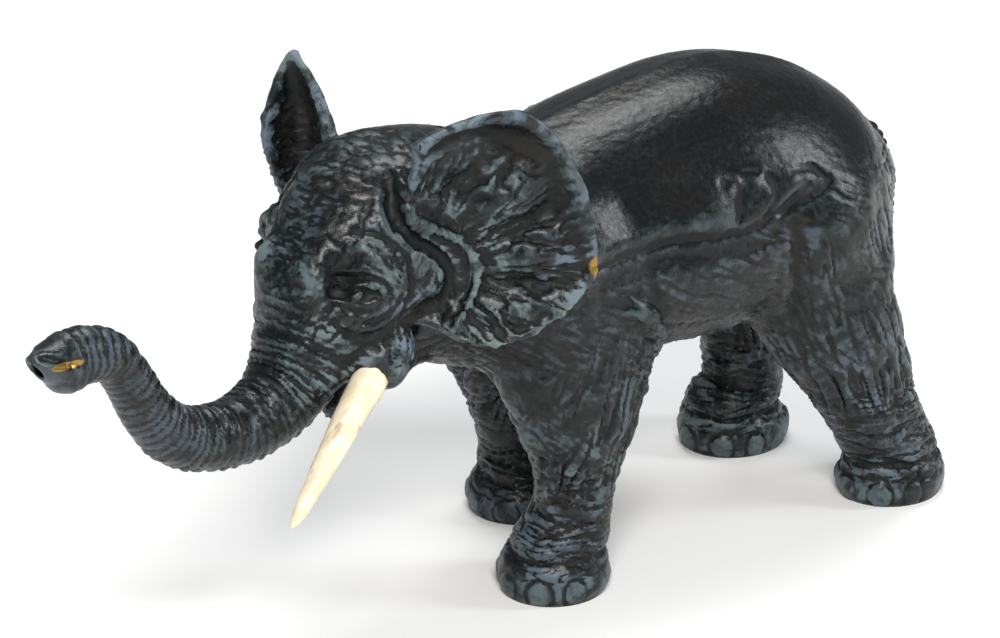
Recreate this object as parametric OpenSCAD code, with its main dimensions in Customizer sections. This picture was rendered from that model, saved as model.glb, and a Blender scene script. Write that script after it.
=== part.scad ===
// Elephant coin bank: two cast half shells clamped on a cast head, with a
// hinged and locked coin trap in the belly. The head points to -X, the left
// side of the animal is -Y, and the soles stand on z = 0.

/* [Figure] */
// Length over all, from the tip of the trunk to the tail
overall_l = 318; // [265:1:382]
// Width of the barrel at its widest
barrel_w = 82; // [69:1:99]
// Height of the back above the ground
back_h = 144; // [120:1:173]
// Turn of the head towards the left side, in degrees
head_yaw = 14; // [8:1:18]
// Thickness of the cast walls of the body
wall = 3.2; // [2.6:0.2:4]

/* [Coin slot] */
// Length of the slot along the back
slot_l = 30; // [25:1:36]
// Width of the slot
slot_w = 4.6; // [3.8:0.2:5.6]

/* [Coin trap] */
// Length of the well in the belly
well_l = 42; // [38:1:50]
// Width of the well in the belly
well_w = 34; // [30:1:40]
// Wall around the well
well_wall = 5; // [4.5:0.5:6]
// Thickness of the trap frame
frame_t = 3; // [2.4:0.2:3.6]
// Thickness of the trap door
door_t = 2.6; // [2:0.2:3.2]
// Diameter of the hinge pin
pin_d = 2.4; // [2:0.2:3]

/* [Fasteners and fittings] */
// Diameter of the screws that close the shells
screw_d = 4; // [3:0.5:5]
// Diameter of the screws in the trap frame
frame_screw_d = 2.4; // [2:0.2:2.6]
// Diameter of the dowels across the seam
dowel_d = 3; // [2.4:0.2:4]
// Diameter of the dowels that hold the ears
ear_dowel_d = 2; // [1.6:0.2:2.4]
// Diameter of each tusk at its root
tusk_d = 10; // [8.5:0.5:12]
// Diameter of the spigot that holds each tusk
spigot_d = 6; // [5:0.5:7]
// Clearance around parts that are slid together
fit = 0.1; // [0.05:0.05:0.2]

/* [Hidden] */

// The stations below are drawn for a figure of this length, width and height
drawn = [318, 82, 144];
grow = [overall_l / drawn[0], barrel_w / drawn[1], back_h / drawn[2]];
// Middle of the drawn figure, which becomes x = 0, y = 0
middle = [-77.7, -1.6, 0];
sides = 24;
far = 400;

bronze = "#1d2322";
ivory = "#e9dfc6";
old_brass = "#8d7840";
steel = "#8f9294";

// Each station is [x, y, z, half width, half height above, half height below]
torso_stations = [
    [-104, 0, 104, 26, 24, 26],
    [-90, 0, 101, 30, 32, 30],
    [-70, 0, 98, 35, 35, 33],
    [-48, 0, 96, 38, 40.5, 35],
    [-24, 0, 96, 40, 45.5, 36],
    [-4, 0, 96, 41, 48.5, 36],
    [14, 0, 96, 41, 47.5, 34],
    [30, 0, 96, 39, 43, 33],
    [44, 0, 95, 34, 35.5, 31],
    [56, 0, 93, 27, 27, 27],
    [66, 0, 91, 18, 19, 20],
    [72, 0, 89, 11, 12, 14],
    [75, 0, 87, 4, 5, 5],
];
left_fore = [
    [-64, -14, 120, 12, 14, 14],
    [-62, -20, 104, 16, 22, 20],
    [-60, -23, 84, 17, 25, 22],
    [-57, -25, 68, 16.5, 27, 24],
    [-56, -26, 50, 14.5, 20, 19],
    [-57, -26.5, 34, 12.5, 13, 12.5],
    [-58, -26, 22, 12.5, 12, 12.5],
    [-61, -25.5, 13, 14.5, 14.5, 15],
    [-63, -25.3, 5, 16.5, 17, 17.5],
    [-63, -25.3, -3, 14, 14.5, 15],
];
right_fore = [
    [-66, 14, 120, 12, 14, 14],
    [-64, 19, 104, 16, 22, 20],
    [-60, 23, 84, 17, 22, 20],
    [-55, 25, 66, 15, 17, 18],
    [-48, 26, 46, 13, 13, 14],
    [-44, 26, 30, 12.5, 12, 12],
    [-42, 26, 21, 12.5, 12, 12],
    [-41, 25.5, 12, 14.5, 15, 15.5],
    [-41, 25.3, 5, 16.5, 17, 17.5],
    [-41, 25.3, -3, 14, 14.5, 15],
];
left_hind = [
    [26, -10, 118, 12, 14, 16],
    [31, -16, 104, 17, 23, 24],
    [35, -20, 84, 19, 25, 26],
    [37, -24, 66, 18, 23, 24],
    [43, -27, 50, 15.5, 20, 19],
    [50, -28, 36, 13.5, 17, 16],
    [57, -28, 22, 12.5, 14.5, 15],
    [61, -28, 13, 14, 15.5, 17],
    [62, -28, 5, 16, 17, 18.5],
    [62, -28, -3, 13.5, 14.5, 15.5],
];
right_hind = [
    [26, 10, 118, 12, 14, 16],
    [31, 16, 104, 17, 23, 24],
    [35, 20, 84, 19, 25, 25],
    [38, 24, 66, 17, 20, 20],
    [42, 27, 48, 14, 15, 15],
    [45, 28, 32, 13, 13, 13.5],
    [46, 28, 21, 13, 13, 14.5],
    [43, 28, 12, 15, 16.5, 18],
    [43, 28, 5, 16.5, 18, 19],
    [43, 28, -3, 14, 15.5, 16.5],
];
head_stations = [
    [-84, 0, 110, 24, 30, 28],
    [-98, 0, 113, 28, 28, 30],
    [-112, 0, 114, 29, 25, 30],
    [-124, 0, 109, 26, 21, 27],
    [-133, 0, 100, 21, 16, 22],
    [-141, 0, 89, 16, 12.5, 16],
    [-151, 0, 78.5, 12, 11, 12],
    [-165, 0, 74, 10.2, 9.8, 10],
    [-180, 0, 75.5, 9, 9, 9],
    [-192, 0, 81, 8.2, 8.3, 8.3],
    [-201, 0, 91, 7.4, 7.4, 7.4],
    [-207, 0, 102, 6.8, 6.8, 6.8],
    [-213, 0, 110, 6.8, 6.8, 7],
    [-222, 0, 113.5, 7, 7.8, 8],
    [-231, 0, 114.5, 7, 6.4, 7.4],
    [-237, 0, 117, 5, 4, 3.5],
    [-240, 0, 118, 2, 1.6, 1.6],
];
jaw_stations = [
    [-104, 0, 86, 14, 12, 12],
    [-116, 0, 77, 10, 9, 9],
    [-126, 0, 70, 6, 5, 5],
    [-133, 0, 66.5, 2, 2, 2],
];
tail_stations = [
    [58, 0, 112, 2, 2, 2],
    [66, 0, 110.5, 4, 3.2, 3.5],
    [73, 0, 104, 3.8, 3, 3.4],
    [77.8, 0, 90, 3, 2.6, 3],
    [78.5, 0, 72, 2.6, 2.2, 2.6],
    [78, 0, 58, 3.4, 2.6, 3],
    [77.5, 0, 44, 1.2, 1, 1],
];
// The right tusk and ear are drawn mirrored, as if on the left
left_tusk_stations = [
    [-130, -18, 87, 0.5, 0.5, 0.5],
    [-136, -19, 82, 0.5, 0.5, 0.5],
    [-143, -20, 76.5, 0.46, 0.46, 0.46],
    [-152, -21, 68, 0.37, 0.37, 0.37],
    [-160, -22, 61, 0.29, 0.29, 0.29],
    [-167, -23, 55, 0.2, 0.2, 0.2],
    [-170, -23, 52, 0.06, 0.06, 0.06],
];
right_tusk_stations = [
    [-130, -16, 86, 0.5, 0.5, 0.5],
    [-134, -16.5, 80, 0.5, 0.5, 0.5],
    [-138, -17, 73, 0.46, 0.46, 0.46],
    [-142, -17, 65.5, 0.38, 0.38, 0.38],
    [-146, -17, 59.5, 0.29, 0.29, 0.29],
    [-149, -17, 55, 0.2, 0.2, 0.2],
    [-150.5, -17, 52.5, 0.06, 0.06, 0.06],
];
// Each rib of an ear runs from its root over its middle to its rim
left_ear_ribs = [
    [[-118, -17, 127], [-125, -27, 146], [-126, -30, 152]],
    [[-117, -19, 126], [-119, -31, 147], [-119, -34, 158]],
    [[-115, -21, 124], [-111, -35, 146], [-112, -39, 161]],
    [[-113, -22, 122], [-104, -38, 141], [-100, -43, 160]],
    [[-112, -23, 119], [-99, -40, 134], [-90, -47, 151]],
    [[-111, -23, 115], [-97, -40, 126], [-82, -50, 136]],
    [[-111, -23, 112], [-97, -40, 118], [-79, -52, 122]],
    [[-111, -23, 109], [-97, -40, 112], [-78, -53, 109]],
    [[-112, -22, 105], [-100, -38, 105], [-86, -52, 101]],
    [[-114, -21, 102], [-106, -35, 100], [-94, -48, 95]],
    [[-116, -20, 99], [-111, -32, 97], [-103, -43, 91]],
    [[-118, -19, 97], [-116, -28, 95], [-111, -37, 91]],
];
right_ear_ribs = [
    [[-110, -16, 131], [-103, -31, 146], [-101, -43, 157.5]],
    [[-111, -18, 128], [-99, -35, 142], [-101, -47, 154]],
    [[-112, -20, 124], [-96, -38, 136], [-103, -50, 146]],
    [[-112, -22, 120], [-95, -40, 129], [-106, -51, 138]],
    [[-112, -23, 116], [-94, -42, 122], [-107, -51, 130]],
    [[-112, -23, 113], [-93, -43, 116], [-105, -51, 123]],
    [[-112, -23, 110], [-93, -43, 110], [-102, -51, 115]],
    [[-112, -23, 107], [-94, -43, 104], [-99, -50, 106]],
    [[-113, -22, 104], [-97, -40, 99], [-98, -47, 98]],
    [[-114, -21, 101], [-102, -36, 96], [-101, -43, 93]],
    [[-116, -20, 99], [-109, -31, 94], [-106, -37, 90]],
];
ear_root_t = 4.4;
ear_rim_t = 1.8;
ear_dowel_ribs = [4, 8];
ear_dowel_out = 5;
ear_dowel_in = 6;
// How far a tusk's spigot reaches into the cheek and out into the tusk
spigot_in = 9;
spigot_out = 13;
socket_out = 20;

head_pivot = [-88 * grow[0], 0, 0];
// The trunk's lower finger, the brows and the cheeks: place and half sizes
finger_at = [-228, 0, 110.5];
finger_r = [6.5, 6, 5];
brow_at = [-130, -17, 112];
brow_r = [10, 8, 12];
cheek_at = [-127, -18.5, 87];
cheek_r = [10, 8.5, 11];

// Neck joint: the head ends at this plane, and its square plug is clamped
// between the two half shells
neck_x = -96 * grow[0];
neck_z = 104 * grow[2];
plug_w = 26;
plug_flange = 4;
plug_flange_t = 3;
core_d = 14;
skull_wall = wall + 3;

// Bosses across the seam, each [x, z], and the dowels in the same way
screw_at = [[-84, 81], [50, 86], [-38, 127], [27, 126]];
dowel_at = [[-6, 139.5], [30, 69]];
boss_d = screw_d + 6;
dowel_boss_d = dowel_d + 5;
dowel_boss_wall = 2.5;
screw_head_d = screw_d * 1.75;
screw_head_t = screw_d * 0.65;
screw_depth = 5;
screw_bite = 15;
dowel_l = 12;

slot_x = -57 * grow[0] - slot_l;

// Tail joint: a flat tang with a cross key, in solid metal at the rump
tang_x = [60 * grow[0], 70 * grow[0]];
tang_z = [104 * grow[2], 110 * grow[2]];
key_z = [100 * grow[2], 111 * grow[2]];
key_l = 4;
tang_half_w = 3;
rump_block = [58 * grow[0], 9, 96 * grow[2]];

// Coin trap: everything is set out from the top of the well
trap_x = -11 * grow[0];
belly_z = 60 * grow[2];
seat_z = belly_z + 10.5;
door_gap = 0.5;
ledge = 3;
hinge_room = 6;
knuckle_d = pin_d + 2;
hinge_x = trap_x + well_l / 2 - knuckle_d / 2 - 0.8;
hinge_z = seat_z - 0.3 - door_t - 0.3;
knuckle_w = 7;
lug_w = 4;
lug_gap = 0.3;
lug_in = knuckle_w / 2 + lug_gap;
lug_out = lug_in + lug_w;
frame_screw_x = well_l / 2 + well_wall / 2;
frame_screw_y = well_w / 2 + well_wall / 2;
frame_head_d = frame_screw_d * 1.8;
frame_head_t = frame_screw_d * 0.6;
frame_head_z = seat_z - 4.6;

// Lock: a coin-turned rotor in a flanged barrel through the door
lock_x = trap_x - well_l / 2 + 11;
sleeve_d = 8;
rotor_d = 5.4;
lock_flange_d = 12;
lock_flange_t = 1.2;
nut_af = 10;
nut_t = 2.2;
cam_t = 1.8;
cam_gap = 0.5;
tang_w = 3.6;
cam_reach = 12.5;
cam_w = 6;
stub_d = 3;
cam_nut_af = 5.5;
cam_nut_t = 2;
door_top = seat_z - 0.3;
door_bottom = door_top - door_t;
cam_z = seat_z + frame_t + cam_gap;

// Curves through stations
function spline(a, b, c, d, t) =
    0.5 * (2 * b + (c - a) * t + (2 * a - 5 * b + 4 * c - d) * t * t
        + (3 * b - a - 3 * c + d) * t * t * t);
function pick(list, i) = list[max(0, min(len(list) - 1, i))];
function along(list, u) =
    let (i = min(floor(u), len(list) - 2))
    spline(pick(list, i - 1), pick(list, i), pick(list, i + 1), pick(list, i + 2), u - i);
function refine(list, n) = [for (k = [0:n]) along(list, k * (len(list) - 1) / n)];
function unit(v) = v / norm(v);
function place(s) = [s[0], s[1], s[2]];
function direction(points, i) = unit(pick(points, i + 1) - pick(points, i - 1));
function sized_point(p) = [p[0] * grow[0], p[1] * grow[1], p[2] * grow[2]];
// Stations at the figure's real size; the last two sizes follow axis k
function sized(stations, k, inset = 0) =
    [for (s = stations) [s[0] * grow[0], s[1] * grow[1], s[2] * grow[2],
        s[3] * grow[1] - inset, s[4] * grow[k] - inset, s[5] * grow[k] - inset]];
function thicker(stations, r) = [for (s = stations) if (s[3] > r) s];
function ring(s, dir) =
    let (across = [0, 1, 0], up = unit(cross(dir, across)))
    [for (k = [0:sides - 1])
        let (a = 360 * k / sides)
        place(s) + across * s[3] * cos(a) + up * sin(a) * (sin(a) > 0 ? s[4] : s[5])];
// Half width of the barrel at x and height z
function skin_y(x, z) =
    let (s = sized(torso_stations, 2),
        i = max([for (k = [0:len(s) - 2]) if (s[k][0] <= x) k]),
        t = (x - s[i][0]) / (s[i + 1][0] - s[i][0]),
        m = s[i] + (s[i + 1] - s[i]) * t,
        h = z > m[2] ? m[4] : m[5])
    m[3] * sqrt(max(0, 1 - pow((z - m[2]) / h, 2)));

module loft(stations, steps) {
    list = refine(stations, steps);
    points = [for (s = list) place(s)];
    rings = [for (i = [0:steps]) ring(list[i], direction(points, i))];
    walls = [for (i = [0:steps - 1], k = [0:sides - 1])
        let (a = i * sides + k, b = i * sides + (k + 1) % sides)
        each [[b, a, b + sides], [a, a + sides, b + sides]]];
    first = [for (k = [0:sides - 1]) k];
    last = [for (k = [sides - 1:-1:0]) steps * sides + k];
    polyhedron([for (r = rings) each r], [first, each walls, last], convexity = 8);
}

// A thin leaf between two offset skins of one curved sheet
function rib_point(r, t) =
    r[0] * (1 - t) * (1 - t) + (2 * r[1] - 0.5 * (r[0] + r[2])) * 2 * t * (1 - t) + r[2] * t * t;
module leaf(ribs, across, steps) {
    rows = [for (k = [0:steps])
        let (u = k * (len(ribs) - 1) / steps)
        [for (m = [0:2]) along([for (r = ribs) r[m]], u)]];
    sheet = [for (r = rows) [for (j = [0:across]) rib_point(r, j / across)]];
    function normal(i, j) = unit(cross(
        pick(sheet[i], j + 1) - pick(sheet[i], j - 1),
        pick(sheet, i + 1)[j] - pick(sheet, i - 1)[j]));
    function half(j) = (ear_root_t + (ear_rim_t - ear_root_t) * j / across) / 2;
    w = across + 1;
    n = (steps + 1) * w;
    front = [for (i = [0:steps], j = [0:across]) sheet[i][j] + normal(i, j) * half(j)];
    back = [for (i = [0:steps], j = [0:across]) sheet[i][j] - normal(i, j) * half(j)];
    faces = [for (i = [0:steps - 1], j = [0:across - 1])
        let (a = i * w + j)
        each [[a, a + w + 1, a + 1], [a, a + w, a + w + 1],
            [n + a, n + a + 1, n + a + w + 1], [n + a, n + a + w + 1, n + a + w]]];
    rim = [for (i = [0:steps - 1])
        let (a = i * w + across)
        each [[a, n + a + w, n + a], [a, a + w, n + a + w]]];
    root = [for (i = [0:steps - 1])
        let (a = i * w)
        each [[a, n + a, n + a + w], [a, n + a + w, a + w]]];
    top_end = [for (j = [0:across - 1]) each [[j, n + j + 1, n + j], [j, j + 1, n + j + 1]]];
    low_end = [for (j = [0:across - 1])
        let (a = steps * w + j)
        each [[a, n + a, n + a + 1], [a, n + a + 1, a + 1]]];
    polyhedron(concat(front, back), [each faces, each rim, each root, each top_end, each low_end],
        convexity = 6);
}

// Puts the figure's middle on the origin
module placed() {
    translate([-middle[0] * grow[0], -middle[1] * grow[1], 0]) children();
}
// Joins cast shapes into one freeform solid
module cast() {
    resize([0, 0, 0]) children();
}
module head_frame() {
    translate(head_pivot) rotate(head_yaw) translate(-head_pivot) children();
}
module mirrored(side) {
    scale([1, -side, 1]) children();
}
module egg(at, r) {
    translate(sized_point(at)) scale(sized_point(r)) sphere(1, $fn = 20);
}
module along_y(d, y0, y1, at) {
    translate([at[0] * grow[0], y0, at[1] * grow[2]]) rotate([-90, 0, 0])
        cylinder(d = d, h = y1 - y0, $fn = 32);
}
module post(d, z0, z1, x, y) {
    translate([x, y, z0]) cylinder(d = d, h = z1 - z0, $fn = 32);
}
module block(x0, x1, y0, y1, z0, z1) {
    translate([x0, y0, z0]) cube([x1 - x0, y1 - y0, z1 - z0]);
}

module head_form() {
    head_frame() {
        loft(sized(head_stations, 2), 40);
        loft(sized(jaw_stations, 2), 8);
        egg(finger_at, finger_r);
        for (side = [-1, 1]) {
            mirrored(side) egg(brow_at, brow_r);
            mirrored(side) egg(cheek_at, cheek_r);
        }
    }
}
module figure() {
    loft(sized(torso_stations, 2), 24);
    for (leg = [left_fore, right_fore, left_hind, right_hind]) {
        loft(sized(leg, 0), 15);
    }
    head_form();
}

module well_walls() {
    x0 = trap_x - well_l / 2 - well_wall;
    x1 = trap_x + well_l / 2 + well_wall;
    y1 = well_w / 2 + well_wall;
    block(x0, x1, -y1, y1, 0, seat_z);
}
module well_hole() {
    block(trap_x - well_l / 2, trap_x + well_l / 2, -well_w / 2, well_w / 2, 0, seat_z + 1);
}
module frame_pocket() {
    x0 = trap_x - well_l / 2 - well_wall - fit;
    x1 = trap_x + well_l / 2 + well_wall + fit;
    y1 = well_w / 2 + well_wall + fit;
    block(x0, x1, -y1, y1, seat_z, seat_z + frame_t + 1);
}
module chamber() {
    difference() {
        intersection() {
            loft(sized(thicker(torso_stations, 3 * wall), 2, wall), 18);
            block(neck_x + wall, far, -far, far, 0, far);
        }
        for (at = screw_at) along_y(boss_d, -far, far, at);
        for (at = dowel_at) {
            along_y(dowel_boss_d, -dowel_l / 2 - dowel_boss_wall, dowel_l / 2 + dowel_boss_wall, at);
        }
        well_walls();
        tail_block();
    }
}
// Solid metal around the tail's tang
module tail_block() {
    block(rump_block[0], far, -rump_block[1], rump_block[1], rump_block[2], far);
}
module tail_tang(gap) {
    block(tang_x[0], tang_x[1], -tang_half_w - gap, tang_half_w + gap, tang_z[0] - gap, tang_z[1] + gap);
}
module tail_lock(gap) {
    block(tang_x[0] - gap, tang_x[0] + key_l + gap, -tang_half_w - gap, tang_half_w + gap,
        key_z[0] - gap, key_z[1] + gap);
}
module neck_plug(gap) {
    w = plug_w / 2 + gap;
    f = w + plug_flange;
    block(neck_x - 1, neck_x + wall + 0.2 + plug_flange_t, -w, w, neck_z - w, neck_z + w);
    block(neck_x + wall + 0.2 - gap, neck_x + wall + 0.2 + plug_flange_t + gap, -f, f,
        neck_z - f, neck_z + f);
}
module coin_slot() {
    block(slot_x, slot_x + slot_l, -slot_w / 2, slot_w / 2, neck_z + plug_w / 2, far);
}
module shell(side) {
    cast() intersection() {
        difference() {
            figure();
            chamber();
            well_hole();
            frame_pocket();
            neck_plug(fit);
            tail_tang(fit);
            tail_lock(fit);
            coin_slot();
        }
        block(neck_x, far, side > 0 ? 0 : -far, side > 0 ? far : 0, 0, far);
    }
}
function seat_y(at) = skin_y(at[0] * grow[0], at[1] * grow[2]) - screw_depth;

module dowel_holes() {
    for (at = dowel_at) along_y(dowel_d, -dowel_l / 2, dowel_l / 2, at);
}
module frame_screw_holes(side) {
    for (sx = [-1, 1]) {
        x = trap_x + sx * frame_screw_x;
        y = side * frame_screw_y;
        post(frame_screw_d + 2 * fit, frame_head_z - 1, seat_z + 1, x, y);
        post(frame_head_d + 0.4, 0.5 * belly_z, frame_head_z, x, y);
    }
}
module left_shell() {
    color(bronze) placed() difference() {
        shell(-1);
        for (at = screw_at) along_y(screw_d, -screw_bite, 1, at);
        dowel_holes();
        frame_screw_holes(-1);
    }
}
module right_shell() {
    color(bronze) placed() difference() {
        shell(1);
        for (at = screw_at) {
            along_y(screw_d + 2 * fit, -1, seat_y(at) + 1, at);
            along_y(screw_head_d + 0.4, seat_y(at), far / 4, at);
        }
        dowel_holes();
        frame_screw_holes(1);
    }
}
module head_shell() {
    color(bronze) placed() difference() {
        cast() difference() {
            union() {
                intersection() {
                    figure();
                    block(-far, neck_x, -far, far, 0, far);
                }
                neck_plug(0);
            }
            intersection() {
                head_frame() loft(sized([for (k = [0:4]) head_stations[k]], 2, skull_wall), 10);
                block(-far, neck_x - skull_wall, -far, far, 0, far);
            }
            translate([neck_x - skull_wall - 8, 0, neck_z]) rotate([0, 90, 0])
                cylinder(d = core_d, h = skull_wall + 30, $fn = 32);
        }
        head_frame() for (side = [-1, 1]) {
            mirrored(side) tusk_spigot(side, spigot_d + 2 * fit, spigot_in + fit, socket_out);
            mirrored(side) ear_dowel_set(side);
        }
    }
}

function ear_ribs(side) =
    [for (r = side > 0 ? right_ear_ribs : left_ear_ribs) [for (p = r) sized_point(p)]];
function tusk_stations(side) = side > 0 ? right_tusk_stations : left_tusk_stations;
// Dowels of an ear, along its ribs at the root
module ear_dowel_set(side) {
    for (k = ear_dowel_ribs) {
        rib = ear_ribs(side)[k];
        start = rib_point(rib, 0.2);
        dir = unit(rib_point(rib, 0.22) - rib_point(rib, 0.18));
        translate(start - dir * ear_dowel_in)
            rotate([0, acos(dir[2]), atan2(dir[1], dir[0])])
                cylinder(d = ear_dowel_d, h = ear_dowel_in + ear_dowel_out, $fn = 24);
    }
}
module ear(side) {
    color(bronze) placed() difference() {
        cast() difference() {
            head_frame() mirrored(side) leaf(ear_ribs(side), 7, 26);
            figure();
        }
        head_frame() mirrored(side) ear_dowel_set(side);
    }
}
module left_ear() {
    ear(-1);
}
module right_ear() {
    ear(1);
}
module ear_dowels() {
    color(steel) placed() head_frame() for (side = [-1, 1]) mirrored(side) ear_dowel_set(side);
}

// Round spigot of a tusk, along its root and into the cheek
module tusk_spigot(side, d, inward, outward) {
    a = sized_point(tusk_stations(side)[0]);
    b = sized_point(tusk_stations(side)[1]);
    dir = unit(a - b);
    translate(a - dir * outward) rotate([0, acos(dir[2]), atan2(dir[1], dir[0])])
        cylinder(d = d, h = inward + outward, $fn = 32);
}
module tusk(side) {
    list = [for (s = tusk_stations(side))
        let (p = sized_point(s))
        [p[0], p[1], p[2], s[3] * tusk_d, s[4] * tusk_d, s[5] * tusk_d]];
    color(ivory) placed() {
        cast() difference() {
            head_frame() mirrored(side) loft(list, 14);
            figure();
        }
        head_frame() mirrored(side) tusk_spigot(side, spigot_d, spigot_in, spigot_out);
    }
}
module left_tusk() {
    tusk(-1);
}
module right_tusk() {
    tusk(1);
}

module tail() {
    color(bronze) placed() cast() {
        difference() {
            loft(sized(tail_stations, 0), 18);
            figure();
        }
        tail_tang(0);
        tail_lock(0);
    }
}

module shell_screws() {
    color(steel) placed() for (at = screw_at) {
        y = seat_y(at);
        difference() {
            union() {
                along_y(screw_d, -screw_bite + 1, y + 0.1, at);
                along_y(screw_head_d, y, y + screw_head_t, at);
            }
            translate([at[0] * grow[0] - far / 2, y + screw_head_t / 2, at[1] * grow[2] - 0.5])
                cube([far, far, 1]);
        }
    }
}
module seam_dowels() {
    color(steel) placed() dowel_holes();
}
module frame_screws() {
    color(steel) placed() for (sx = [-1, 1], sy = [-1, 1]) {
        x = trap_x + sx * frame_screw_x;
        y = sy * frame_screw_y;
        difference() {
            union() {
                post(frame_screw_d, frame_head_z - 0.1, seat_z + frame_t, x, y);
                post(frame_head_d, frame_head_z - frame_head_t, frame_head_z, x, y);
            }
            block(x - far / 2, x + far / 2, y - 0.3, y + 0.3,
                frame_head_z - far, frame_head_z - frame_head_t / 2);
        }
    }
}

module pin_bore(d) {
    translate([hinge_x, -far / 2, hinge_z]) rotate([-90, 0, 0]) cylinder(d = d, h = far, $fn = 32);
}
module knuckle(y0, y1) {
    translate([hinge_x, y0, hinge_z]) rotate([-90, 0, 0]) cylinder(d = knuckle_d, h = y1 - y0, $fn = 32);
}
module trap_frame() {
    x0 = trap_x - well_l / 2;
    x1 = trap_x + well_l / 2;
    color(old_brass) placed() difference() {
        union() {
            block(x0 - well_wall, x1 + well_wall, -well_w / 2 - well_wall, well_w / 2 + well_wall,
                seat_z, seat_z + frame_t);
            for (y0 = [-lug_out, lug_in]) {
                knuckle(y0, y0 + lug_w);
                block(hinge_x - knuckle_d / 2, hinge_x + knuckle_d / 2, y0, y0 + lug_w,
                    hinge_z, seat_z + 0.5);
            }
        }
        block(x0 + ledge, x1 - ledge - hinge_room, -well_w / 2 + ledge, well_w / 2 - ledge,
            seat_z - 0.5, seat_z + frame_t + 1);
        pin_bore(pin_d);
        for (sx = [-1, 1], sy = [-1, 1]) {
            post(frame_screw_d, seat_z - 1, seat_z + frame_t + 1,
                trap_x + sx * frame_screw_x, sy * frame_screw_y);
        }
    }
}
module hinge_pin() {
    color(steel) placed() translate([hinge_x, -lug_out, hinge_z]) rotate([-90, 0, 0])
        cylinder(d = pin_d, h = 2 * lug_out, $fn = 32);
}
module trap_door() {
    x0 = trap_x - well_l / 2 + door_gap;
    x1 = hinge_x - knuckle_d / 2 - 0.6;
    y1 = well_w / 2 - door_gap;
    color(old_brass) placed() difference() {
        union() {
            block(x0, x1, -y1, y1, door_bottom, door_top);
            knuckle(-knuckle_w / 2, knuckle_w / 2);
            block(x1 - 1, hinge_x, -knuckle_w / 2, knuckle_w / 2, door_bottom, hinge_z + pin_d / 2 + 0.6);
        }
        pin_bore(pin_d + 0.16);
        post(sleeve_d, door_bottom - 1, door_top + 1, lock_x, 0);
    }
}
module lock_barrel() {
    color(old_brass) placed() difference() {
        union() {
            post(lock_flange_d, door_bottom - lock_flange_t, door_bottom, lock_x, 0);
            post(sleeve_d, door_bottom - 0.1, cam_z - 0.2, lock_x, 0);
        }
        post(rotor_d + 0.16, door_bottom - 3, cam_z + 1, lock_x, 0);
    }
}
module hex(af, z0, z1) {
    translate([lock_x, 0, z0]) cylinder(d = af / cos(30), h = z1 - z0, $fn = 6);
}
module barrel_nut() {
    color(old_brass) placed() difference() {
        hex(nut_af, door_top, door_top + nut_t);
        post(sleeve_d, door_top - 1, door_top + nut_t + 1, lock_x, 0);
    }
}
module lock_rotor() {
    z0 = door_bottom - lock_flange_t;
    color(old_brass) placed() difference() {
        union() {
            post(rotor_d + 3.4, z0 - 1.6, z0 - 0.1, lock_x, 0);
            post(rotor_d, z0 - 0.2, cam_z, lock_x, 0);
            block(lock_x - tang_w / 2, lock_x + tang_w / 2, -tang_w / 2, tang_w / 2,
                cam_z - 0.1, cam_z + cam_t);
            post(stub_d, cam_z + cam_t - 0.1, cam_z + cam_t + cam_nut_t + 0.4, lock_x, 0);
        }
        block(lock_x - 0.8, lock_x + 0.8, -far / 2, far / 2, z0 - far, z0 - 0.8);
    }
}
module lock_cam() {
    color(old_brass) placed() difference() {
        union() {
            post(cam_w, cam_z, cam_z + cam_t, lock_x, 0);
            block(lock_x - cam_w / 2, lock_x + cam_w / 2, 0, cam_reach, cam_z, cam_z + cam_t);
        }
        block(lock_x - tang_w / 2, lock_x + tang_w / 2, -tang_w / 2, tang_w / 2,
            cam_z - 1, cam_z + cam_t + 1);
    }
}
module cam_nut() {
    color(steel) placed() difference() {
        hex(cam_nut_af, cam_z + cam_t, cam_z + cam_t + cam_nut_t);
        post(stub_d, cam_z, cam_z + cam_t + cam_nut_t + 1, lock_x, 0);
    }
}

left_shell();
right_shell();
head_shell();
left_ear();
right_ear();
left_tusk();
right_tusk();
tail();
shell_screws();
seam_dowels();
ear_dowels();
trap_frame();
frame_screws();
hinge_pin();
trap_door();
lock_barrel();
barrel_nut();
lock_rotor();
lock_cam();
cam_nut();
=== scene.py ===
"""Elephant coin bank: sculpted bronze skin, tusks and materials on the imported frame."""

import math

import bpy
import numpy as np
import openvdb as vdb
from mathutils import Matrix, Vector


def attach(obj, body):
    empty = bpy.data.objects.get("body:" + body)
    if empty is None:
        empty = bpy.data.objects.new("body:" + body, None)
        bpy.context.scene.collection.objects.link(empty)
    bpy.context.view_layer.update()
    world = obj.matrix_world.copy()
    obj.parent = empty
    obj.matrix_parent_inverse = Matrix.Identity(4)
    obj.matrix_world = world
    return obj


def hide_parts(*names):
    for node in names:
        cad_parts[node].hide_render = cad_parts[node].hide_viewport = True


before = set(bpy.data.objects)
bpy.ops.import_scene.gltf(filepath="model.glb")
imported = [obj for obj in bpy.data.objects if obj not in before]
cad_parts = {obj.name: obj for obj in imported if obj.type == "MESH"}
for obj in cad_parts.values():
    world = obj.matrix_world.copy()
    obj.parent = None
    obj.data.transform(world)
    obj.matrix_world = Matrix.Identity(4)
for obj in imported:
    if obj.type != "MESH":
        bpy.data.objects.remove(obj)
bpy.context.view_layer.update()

# The sculpt is made in millimetres in the figure's own frame: head to -X, left
# side to -Y, soles on z = 0. MIDDLE moves it to the row frame.
MIDDLE = np.array([77.7, 1.6, 0.0])
YAW = math.radians(14)
PIVOT = np.array([-88.0, 0.0, 0.0])
NECK_X = -96.0
VOXEL = 0.75
BAND = 12.0
LOW = np.array([-250.0, -62.0, -8.0])
HIGH = np.array([88.0, 62.0, 168.0])
FIRST = np.floor(LOW / VOXEL).astype(int)
SHAPE = tuple(int(n) for n in np.ceil((HIGH - LOW) / VOXEL).astype(int) + 1)

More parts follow.
